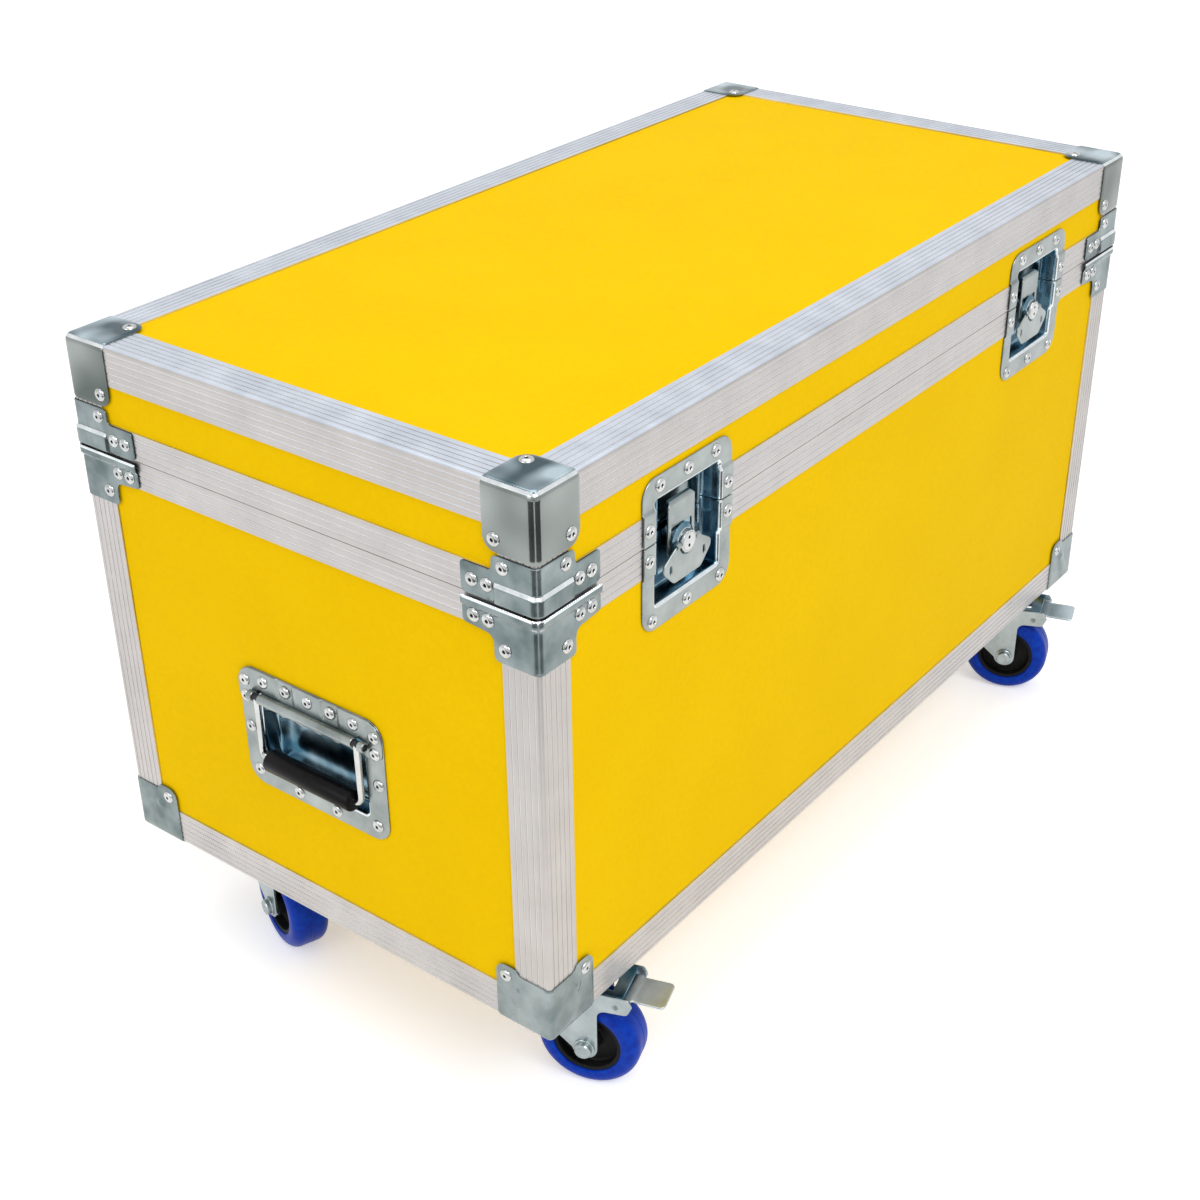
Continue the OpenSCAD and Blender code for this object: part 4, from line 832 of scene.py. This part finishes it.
LATCH_X = 255
LATCH_W, LATCH_UP, LATCH_DOWN = 50.5, 46, 66
LATCH_OPENING = (-38.5, -51, 38.5, 31, 4.8)
LATCH_DEEP = 15.3
LATCH_DROP = LATCH_DEEP - EDGING_T
PRESS_T = 1.4
CLOSING_EDGE = (22.6, 23.1, 23.7, 24.3, 24.8)
RIB_U, RIB_HALF, RIB_LOW, RIB_TOP = 24, 3.4, -17, 31
SPINDLE_V, HOOK_BEND_V = -15, 13.2
RING_DEPTHS = (0, 0.6, 1.3, 2.0, 2.6, 3.0, 3.7, 4.1, 4.9, 6.2)


def sink(d, deep, lip=3.0, wall=0.7, fillet=2.5):
    """Depth of a pressed dish below its flange, by the distance d inside its rim."""
    t = np.radians(np.arange(0, 91, 15))
    at = np.concatenate([[-1], lip * np.sin(t), lip + wall + fillet * (1 - np.cos(t))])
    down = np.concatenate([[0], lip * (1 - np.cos(t)), deep - fillet * (1 - np.sin(t))])
    return np.interp(d, at, down)


def opening_rings(u0, v0, u1, v1, r):
    """Loops inside an opening's edge, where its wall bends."""
    return [rectangle(u0 + d, v0 + d, u1 - d, v1 - d, max(r - d, 0.6)) for d in RING_DEPTHS]


def inside_opening(u0, v0, u1, v1, r):
    """A function of (u, v): how far a point is inside an opening's edge."""
    middle, half = ((u0 + u1) / 2, (v0 + v1) / 2), ((u1 - u0) / 2, (v1 - v0) / 2)
    return lambda u, v: -rounded_box(u, v, *middle, *half, r)


latch_rim = inside_opening(*LATCH_OPENING)


def latch_height(u, v):
    """The flange steps up over the closing profile, and the dish has two upright ribs."""
    flange = EDGING_T * (1 - smooth_step(np.abs(v), CLOSING_EDGE[0], CLOSING_EDGE[-1]))
    rib = -rounded_box(np.abs(u), v, RIB_U, (RIB_LOW + RIB_TOP) / 2, RIB_HALF,
                       (RIB_TOP - RIB_LOW) / 2, RIB_HALF)
    deep = sink(latch_rim(u, v), LATCH_DEEP) * (flange + LATCH_DROP) / LATCH_DEEP
    return flange - deep + 5.5 * smooth_step(rib, 0, 2.4) * smooth_step(deep, 2, 9)


def dish_light_paint(rim):
    """The dish gets the blue painted reflection and shade, and the lip round it a painted
    highlight.
    """
    # Slot 1 is the painted reflection and shade inside the dish, slot 2 the painted highlight on
    # the lip.
    return lambda u, v, h: np.where(rim(u, v) > 2.7, 1, np.where(rim(u, v) > 0.7, 2, 0))


def latch_dishes():
    up, down = Build(), Build()
    lid = rectangle(-LATCH_W, SEAM_GAP, LATCH_W, LATCH_UP, [0.6, 0.6, 14, 14])
    base = rectangle(-LATCH_W, -LATCH_DOWN, LATCH_W, -SEAM_GAP, [14, 14, 0.6, 0.6])
    creases = opening_rings(*LATCH_OPENING)
    creases += [rectangle(s * RIB_U - RIB_HALF + k, RIB_LOW + k, s * RIB_U + RIB_HALF - k, 25,
                          RIB_HALF - k) for s in (-1, 1) for k in (0, 0.8, 1.6, 2.4)]
    lines = [np.array([(s * 39, way * v), (s * 50, way * v)]) for s in (-1, 1) for way in (-1, 1)
             for v in CLOSING_EDGE]
    for s in (-1, 1):
        place = front_place(s * LATCH_X, SEAM_Z)
        for build, outline in ((up, lid), (down, base)):
            build.sheet(outline, place, latch_height, thick=PRESS_T, lines=lines, creases=creases,
                        paint=dish_light_paint(latch_rim))
        for build, way, v, u in ((LID_RIVETS, 1, 38.5, 31.3), (BASE_RIVETS, -1, 58.5, 39.3)):
            rivets(build, place, [(-u, way * v), (0, way * v), (u, way * v)], 0)
            rivets(build, place, [(-44.5, way * 11), (44.5, way * 11)], EDGING_T)
    for build, part, body in ((up, "lid", "lid"), (down, "base", "case_base")):
        build.make("latch_%s_pressings" % part, body, [SATIN, BLUE_REFLECTION_SHADE, PAINTED_HIGHLIGHT],
                   ["latch_%s_dishes" % part])


def spindle(name, place):
    build = Build()
    axis = on_sheet(place, 0, SPINDLE_V)
    build.lathe([(0, -14.6), (3.6, -14.6), (4, -14.2), (4, -4.9), (0, -4.9)], axis)
    build.lathe([(0, -9.6), (6.6, -9.6), (7, -9.2), (7, -4.9), (0, -4.9)],
                on_sheet(place, 0, SPINDLE_V + 4), 32)
    build.lathe([(6.6, -4.8), (11.6, -4.8), (12, -4.5), (12, -4.2), (11.5, -3.7), (10, -3),
                 (8.6, -2.5), (8.05, -2.1), (7.95, 0.8), (7.7, 1.2), (7.2, 1.4), (6.6, 1.4)],
                axis, 48, [1] * 6 + [0] * 6)
    build.sheet(disc(0, 0, 6.8, 40), axis, 1.4, [disc(0, v, 1.2, 16) for v in (-3, 3)],
                step=1.6, thick=1.0, roll=0)
    # A near-black disc that shows through the knob's two holes: painted shade.
    build.lathe([(0, -0.9), (6.6, -0.9), (6.6, -0.4), (0, -0.4)], axis, mats=2)
    build.tube([(u, SPINDLE_V, -0.6) for u in (-12.9, 0, 12.9)], 1.2, place, 12)
    build.make(name + "_knob", name, [BRIGHT, BLUE_REFLECTION_SHADE, SHOE_BLACK_AND_SHADE], [name])


def wing(name, place):
    build = Build()
    outline = mirrored_loop([(15.5, -26), (27, -14.3), (27, -9.1), (12.9, 0)], [6, 7, 4.5, 1.5],
                            arc(0, 0, 9.2, range(0, -181, -12)))
    slots = [rectangle(s * 19 - 1.2, -17.5, s * 19 + 1.2, -11.1, 1.2) for s in (-1, 1)]
    build.sheet(outline, on_sheet(place, 0, SPINDLE_V), 0.3, slots, step=1.8, thick=1.8, roll=0.6)
    ring = [(1.25, 8.3), (2.0, 8.3), (2.3, 8.6), (2.3, 12.6), (2.0, 12.9), (1.25, 12.9)]
    for s in (-1, 1):
        build.lathe([(r, s * z) for r, z in ring], along_u(place, SPINDLE_V, -0.6), 20)
    build.make(name + "_leaf", name, [SATIN], [name])


def hook(name, place):
    """The hook plate, whose top edge bends over into the claw."""
    build = Build()
    outline = mirrored_loop([(15, -24), (15, HOOK_BEND_V), (12, 16.5)], [3, 1, 1])
    slot = rectangle(-11.5, -19, 11.5, -3, 1)

    def height(u, v):
        t = np.clip((v - HOOK_BEND_V) / 3, 0, 1)
        bend = 3 * (1 - np.sqrt(1 - np.minimum(t, 0.999) ** 2))
        return -5.1 - bend - 0.5 * smooth_step(v, 16.2, 16.5)

    lines = level_lines(15, (HOOK_BEND_V, 13.9, 14.6, 15.2, 15.6, 15.9, 16.1, 16.25))
    build.sheet(outline, place, height, [slot], thick=1.7, roll=0.4, lines=lines)
    claw = rectangle(-12, -9.6, 12, -6.4, 0.8)
    build.sheet(claw, lambda u, v, o: place(u, 14.8 + o, v), 1.6, step=1.6, thick=1.9, roll=0.5)
    build.make(name + "_plate", name, [SATIN], [name])


def latches():
    latch_dishes()
    for side, s in (("left", -1), ("right", 1)):
        for part, make in (("spindle", spindle), ("wing", wing), ("hook", hook)):
            make("latch_%s_%s" % (side, part), front_place(s * LATCH_X, SEAM_Z))


# Handles

HANDLE_Z = 263
HANDLE_W, HANDLE_H = 70, 50.5
HANDLE_OPENING = (-53, -35.5, 53, 32.5, 6.3)
HANDLE_DEEP = 13.3
OVERLAY_LOW, OVERLAY_FACE, CHANNEL_U = 19.5, 3, 22
ROD_R, ROD_V, ROD_O = 2.6, 29.5, 5.65
ARM_U, ARM_BEND, GRIP_DROP = 49, 7, 51
handle_rim = inside_opening(*HANDLE_OPENING)


def handle_height(u, v):
    return EDGING_T - sink(handle_rim(u, v), HANDLE_DEEP, fillet=3)


def overlay_height(u, v):
    """Two shallow channels run up from the rod to the plate's top edge."""
    channel = smooth_step(8.6 - np.abs(np.abs(u) - CHANNEL_U), 0, 1.4) * smooth_step(v, 33, 36)
    return OVERLAY_FACE - 0.6 * channel


def overlay_outline():
    """The plate is cut out beside the rod's curls, and its lower edge between them is scalloped."""
    low, cut = OVERLAY_LOW, 32.4
    scallops = [(u, low + 1.7 * abs(math.sin(math.pi * (u + 44) / 17.6)))
                for u in range(-44, 45, 2)]
    points = [(-HANDLE_W, low), (-51.9, low), (-51.9, cut), (-46.1, cut), (-46.1, low), *scallops,
              (46.1, low), (46.1, cut), (51.9, cut), (51.9, low), (HANDLE_W, low),
              (HANDLE_W, HANDLE_H), (-HANDLE_W, HANDLE_H)]
    radii = [8, 3, 1, 1, 0.5] + [0] * len(scallops) + [0.5, 1, 1, 3, 8, 15, 15]
    return rounded_loop(points, radii)


def handle_plates():
    dishes, plates = Build(), Build()
    channels = upright([s * CHANNEL_U + k for s in (-1, 1)
                        for k in (-8.6, -7.9, -7.2, 7.2, 7.9, 8.6)], 33, 50)
    outline = rectangle(-HANDLE_W, -HANDLE_H, HANDLE_W, HANDLE_H, 15)
    for side in (-1, 1):
        place = end_place(side, HANDLE_Z)
        dishes.sheet(outline, place, handle_height, thick=PRESS_T,
                     creases=opening_rings(*HANDLE_OPENING), paint=dish_light_paint(handle_rim))
        plates.sheet(overlay_outline(), place, overlay_height, thick=1.45, step=1.8, roll=0.7,
                     lines=channels)
        for a, b in ((-56.9, -51.9), (-46.1, 46.1), (51.9, 56.9)):
            ring = [(2.65, a), (3.5, a), (3.85, a + 0.35), (3.85, b - 0.35), (3.5, b), (2.65, b)]
            plates.lathe(ring, along_u(place, ROD_V, ROD_O), 32)
        row = [(u, 42.5) for u in (-44.1, -22.05, 0, 22.05, 44.1)]
        beside = [(s * 63, v) for s in (-1, 1) for v in (38.5, 25)]
        low = [(s * u, v) for s in (-1, 1) for u, v in ((63, -2), (59, -38.5), (18.9, -43))]
        rivets(BASE_RIVETS, place, row + beside, OVERLAY_FACE)
        rivets(BASE_RIVETS, place, low, EDGING_T)
    dishes.make("handle_pressings", "case_base", [SATIN, BLUE_REFLECTION_SHADE, PAINTED_HIGHLIGHT], ["handle_dishes"])
    plates.make("handle_overlays", "case_base", [SATIN], ["handle_hinge_plates"])


def bail(side, name):
    """The bent rod with its near-black ends in the curls, painted shade, and the turned grip over
    its lowest run.
    """
    rod, grip = Build(), Build()
    place = end_place(side, HANDLE_Z)
    t = np.radians(np.arange(0, 91, 7.5))
    low = ROD_V - GRIP_DROP + ARM_BEND
    left = [(-ARM_U, ROD_V, ROD_O), (-ARM_U, low, ROD_O)]
    left += [(-ARM_U + ARM_BEND - ARM_BEND * math.cos(a), low - ARM_BEND * math.sin(a), ROD_O)
             for a in t[1:]]
    path = left + [(-u, v, o) for u, v, o in left[::-1]]
    rod.tube(divided(path, 2, closed=False), ROD_R, place, 24)
    # A straight rod through the curls, painted near-black: painted shade in the curls and beside
    # the arms.
    ends = [(-56.4, 1.2), (-56.2, 2.0), (-55.6, ROD_R)]
    ends += [(-u, r) for u, r in ends[::-1]]
    line = np.array([(u, ROD_V, ROD_O) for u, _ in ends])
    rod.tube(line, [r for _, r in ends], place, 24, 1)
    rod.make(name + "_rod", name, [BRIGHT, SHOE_BLACK_AND_SHADE], [name + "_bail"])
    turned = both_ways([(2.65, -41.85), (7, -41.85), (8, -41.5), (8.45, -40.6)])
    grip.lathe(turned, along_u(place, ROD_V - GRIP_DROP, ROD_O), 48)
    grip.make(name + "_sleeve", name, [GRIP], [name + "_grip"], "grip")


# Castors

# Each castor: its side along x and y, and how far it is swivelled at rest
CASTORS = {"front_left": (-1, -1, -72), "front_right": (1, -1, -72),
           "back_left": (-1, 1, -110), "back_right": (1, 1, -80)}
CASTOR_X, CASTOR_Y = 339, 146
TRAIL, AXLE_Z, LEG_OUT = 38, -68, 20
CROWN_Z, CROWN_HALF, NOSE = -13, 18.4, 48
LEVER_X, LEVER_Z = 62, -22


def castor_place(sx, sy, turn):
    c, s = math.cos(math.radians(turn)), math.sin(math.radians(turn))
    x0, y0 = sx * CASTOR_X, MID_Y + sy * CASTOR_Y
    return lambda x, y, z: np.stack([x0 + c * x - s * y, y0 + s * x + c * y, UNDER_Z + z], -1)


def axle_place(place):
    """Places a turned part with its axis along the wheel's."""
    return lambda x, y, z: place(TRAIL + x, -z, AXLE_Z + y)


def fork(name, place, braked):
    """Two legs under a crown. A braked fork is longer and holds the lever's pin."""
    build = Build()
    arm = 72 if braked else 51
    foot = arc(TRAIL, AXLE_Z, 10, range(-168, 1, 12))
    points = [(-22, CROWN_Z), (-22, -25), (-12, -35), *foot, (NOSE, -29.5), (arm - 1, -28),
              (arm + 3, -19), (arm, CROWN_Z)]
    radii = [2.5, 5, 14] + [0] * len(foot) + [7 if braked else 0.8, 4, 2, 2.5]
    side = rounded_loop(points, radii)
    for s in (-1, 1):
        build.sheet(side, lambda u, v, o: place(u, s * (LEG_OUT + o), v), 0,
                    [disc(TRAIL, AXLE_Z, 4.05)], thick=2.5, roll=0.7)
    crown = rectangle(-22, -CROWN_HALF, NOSE, CROWN_HALF, [3, 0.5, 0.5, 3])
    on_crown = on_sheet(place, 0, 0, CROWN_Z)
    build.sheet(crown, on_crown, 0, [disc(0, 0, 6.05)], thick=3)
    if braked:
        build.sheet(rectangle(47.5, -CROWN_HALF, 68, CROWN_HALF, 0.6), on_crown, 0,
                    [rectangle(51, -11.5, 58, 11.5, 1.2)], thick=2, roll=0.7, mat=1)
        build.tube([(LEVER_X, y, LEVER_Z) for y in (-20, 0, 20)], 2.5, place)
    build.make(name + "_frame", name, [FORK, BLUE_REFLECTION_SHADE], [name + "_fork"], "castor_steel")


def axle(name, place):
    build = Build()
    at = axle_place(place)
    build.lathe([(0, -25), (3.6, -25), (4, -24.6), (4, 20), (0, 20)], at)
    build.lathe([(0, 19.9), (8, 19.9), (8, 21.1), (7.6, 21.5), (6.6, 21.6), (6.6, 24.4),
                 (5.9, 25.3), (4.4, 25.5), (3.8, 25.1), (0, 25)], at, 40)
    build.lathe([(0, -24), (6.4, -24), (7.5, -23.3), (7.5, -20), (0, -20)], at, 6)
    build.make(name + "_bolt", name, [FORK], [name + "_axle"], "castor_steel")


def wheel(name, body, place):
    hub, tyre = Build(), Build()
    at = axle_place(place)
    half = [(4.05, 17.2), (9.4, 17.2), (10, 16.6), (10, 7.2), (11.2, 6), (22.2, 6), (23.4, 7.2),
            (23.5, 14), (24, 14.5), (26.5, 14.5)]
    hub.lathe(both_ways(half), at, 64)
    tread = arc(31, 7, 9, range(90, -1, -10))
    side = [(26.5, 14.6), (26.9, 15.6), (27.8, 16), *tread, (40, 1.1), (39.7, 0.8)]
    tyre.lathe(both_ways(side), at, 96)
    hub.make(name + "_centre", body, [HUB], [name + "_hub"], "wheel_centre")
    tyre.make(name + "_rim", body, [TYRE], [name + "_tyre"], "tyre")


def pedal(name, place):
    """The brake's lever, its curl round the pin and its dark shoe."""
    build = Build()
    outline = rounded_loop([(60.5, -15.2), (73, -15.2), (73, -14), (98, -14), (98, 14), (73, 14),
                            (73, 15.2), (60.5, 15.2)], [1, 1, 0.5, 4, 4, 0.5, 1, 1])
    build.sheet(outline, on_sheet(place, 0, 0, -17.4), lambda u, v: -0.5 * smooth_step(u, 71, 76),
                thick=1.9, roll=0.7, lines=upright(range(71, 77), -15, 15))
    turned = both_ways([(2.55, -17.2), (4.2, -17.2), (4.6, -16.8)])
    build.lathe(turned, lambda x, y, z: place(LEVER_X + x, z, LEVER_Z + y), 28)
    shoe = rectangle(-8, -34, 8, -22, 1)
    build.sheet(shoe, lambda u, v, o: place(67.3 + o, u, v), thick=5, roll=0.8, mat=1)
    build.make(name + "_lever", name, [PEDAL, SHOE_BLACK_AND_SHADE], [name + "_pedal"], "castor_steel")


latches()
handle_plates()
for end, sign in (("left", -1), ("right", 1)):
    bail(sign, "handle_" + end)
for where, (sx, sy, turn) in CASTORS.items():
    spot = castor_place(sx, sy, turn)
    fork("castor_" + where, spot, "front" in where)
    axle("castor_" + where, spot)
    wheel("castor_" + where, "wheel_" + where, spot)
    if "front" in where:
        pedal("brake_" + where.split("_")[1], spot)
for hinge_x in (-230, 230):
    for build, s in ((LID_RIVETS, 1), (BASE_RIVETS, -1)):
        for v, face in ((13, 2), (34, 0.5)):
            rivets(build, back_place(hinge_x, SEAM_Z), [(-36, s * v), (36, s * v)], face)
LID_RIVETS.make("lid_rivet_heads", "lid", [HEAD, SHOE_BLACK_AND_SHADE], ["lid_rivets"], "rivet")
BASE_RIVETS.make("base_rivet_heads", "case_base", [HEAD, SHOE_BLACK_AND_SHADE], ["base_rivets"], "rivet")


# Camera, light and floor


def camera():
    """Solved from the photograph, with its axes as unit vectors."""
    data = bpy.data.cameras.new("camera")
    data.sensor_width = 36
    data.lens = 55.298
    data.clip_end = 50
    cam = linked("camera", data)
    right = Vector((0.606589, -0.794952, -0.010046))
    down = Vector((-0.404986, -0.298102, -0.864362))
    forward = Vector((0.684132, 0.528381, -0.50277))
    turn = Matrix((right, -down, -forward)).transposed()
    cam.matrix_world = Matrix.Translation((-1.13682, -0.80816, 1.01024)) @ turn.to_4x4()
    bpy.context.scene.camera = cam


def lamp(name, at, size, watts):
    """A white area lamp that points at the middle of the case."""
    data = bpy.data.lights.new(name, "AREA")
    data.shape = "RECTANGLE"
    data.size, data.size_y = size
    data.energy = watts
    obj = linked(name, data)
    obj.location = at
    obj.rotation_mode = "QUATERNION"
    obj.rotation_quaternion = (Vector(MIDDLE) - Vector(at)).to_track_quat("-Z", "Y")


def seen_mix(tree, seen, other):
    """One shader for camera, glossy and transmission rays, another for the rest."""
    path = tree.nodes.new("ShaderNodeLightPath")
    either = path.outputs["Is Camera Ray"]
    for kind in ("Is Glossy Ray", "Is Transmission Ray"):
        add = tree.nodes.new("ShaderNodeMath")
        add.operation = "ADD"
        add.use_clamp = True
        tree.links.new(either, add.inputs[0])
        tree.links.new(path.outputs[kind], add.inputs[1])
        either = add.outputs[0]
    mix = tree.nodes.new("ShaderNodeMixShader")
    tree.links.new(either, mix.inputs[0])
    tree.links.new(other, mix.inputs[1])
    tree.links.new(seen, mix.inputs[2])
    return mix.outputs[0]


def world():
    """A white room that lights the part less than it shows."""
    room = bpy.data.worlds.new("studio")
    bpy.context.scene.world = room
    room.use_nodes = True
    tree = room.node_tree
    tree.nodes.clear()
    seen, soft = (tree.nodes.new("ShaderNodeBackground") for _ in range(2))
    for node, strength in ((seen, 1.0), (soft, 0.55)):
        node.inputs["Color"].default_value = (1, 1, 1, 1)
        node.inputs["Strength"].default_value = strength
    out = tree.nodes.new("ShaderNodeOutputWorld")
    tree.links.new(seen_mix(tree, seen.outputs[0], soft.outputs[0]), out.inputs[0])


def stage_sheet(name, corners, material, seen=True):
    """A flat four-sided piece of the stage, or one that only reflections see."""
    mesh = bpy.data.meshes.new(name)
    mesh.from_pydata(corners, [], [(0, 1, 2, 3)])
    mesh.materials.append(material)
    obj = linked(name, mesh)
    obj.visible_camera = obj.visible_diffuse = obj.visible_shadow = seen


def floor():
    """A pale floor with a little light of its own."""
    m, tree, bsdf = node_tree("pale_floor")
    tree.links.new(ramp(tree, noise(tree, 3, 2), 0.9, 0.92), bsdf.inputs["Base Color"])
    bsdf.inputs["Roughness"].default_value = 0.8
    bsdf.inputs["Specular IOR Level"].default_value = 0.1
    glow = tree.nodes.new("ShaderNodeEmission")
    glow.inputs["Strength"].default_value = 0.4
    white = tree.nodes.new("ShaderNodeAddShader")
    tree.links.new(bsdf.outputs[0], white.inputs[0])
    tree.links.new(glow.outputs[0], white.inputs[1])
    surface = tree.nodes["Material Output"].inputs["Surface"]
    tree.links.new(seen_mix(tree, white.outputs[0], bsdf.outputs[0]), surface)
    stage_sheet("floor", [(-6, -6, 0), (6, -6, 0), (6, 6, 0), (-6, 6, 0)], m)


def dark_card(name, corners):
    """A dark card that only reflections see, as photographers set beside polished metal."""
    m, tree, bsdf = node_tree(name)
    tree.links.new(ramp(tree, noise(tree, 2, 2), 0.02, 0.05), bsdf.inputs["Base Color"])
    stage_sheet(name, corners, m, seen=False)


def sector(start, end, near=0.7, far=2.2):
    """A wedge of the floor round the near corner, between two azimuths in degrees."""
    points = ((near, start), (far, start), (far, end), (near, end))
    return [(-0.4 + r * math.cos(math.radians(a)), -0.2 + r * math.sin(math.radians(a)), 0.01)
            for r, a in points]


camera()
world()
floor()
MIDDLE = (0, 0, 0.3)
lamp("key", (-1.2, -2.6, 3.2), (2.4, 1.6), 68)
lamp("fill", (-3.4, 0.6, 1.8), (2.0, 1.6), 21)
lamp("top", (0.4, 0.4, 3.6), (3.0, 2.0), 32)
near, far = (-2.99, -1.74), (-2.21, -2.66)
dark_card("card_low", [(*near, 0.1), (*far, 0.1), (*far, 0.6), (*near, 0.6)])
dark_card("card_front", sector(-62, -128))
dark_card("card_end", sector(-142, -208))
bpy.context.scene.view_settings.view_transform = "Standard"
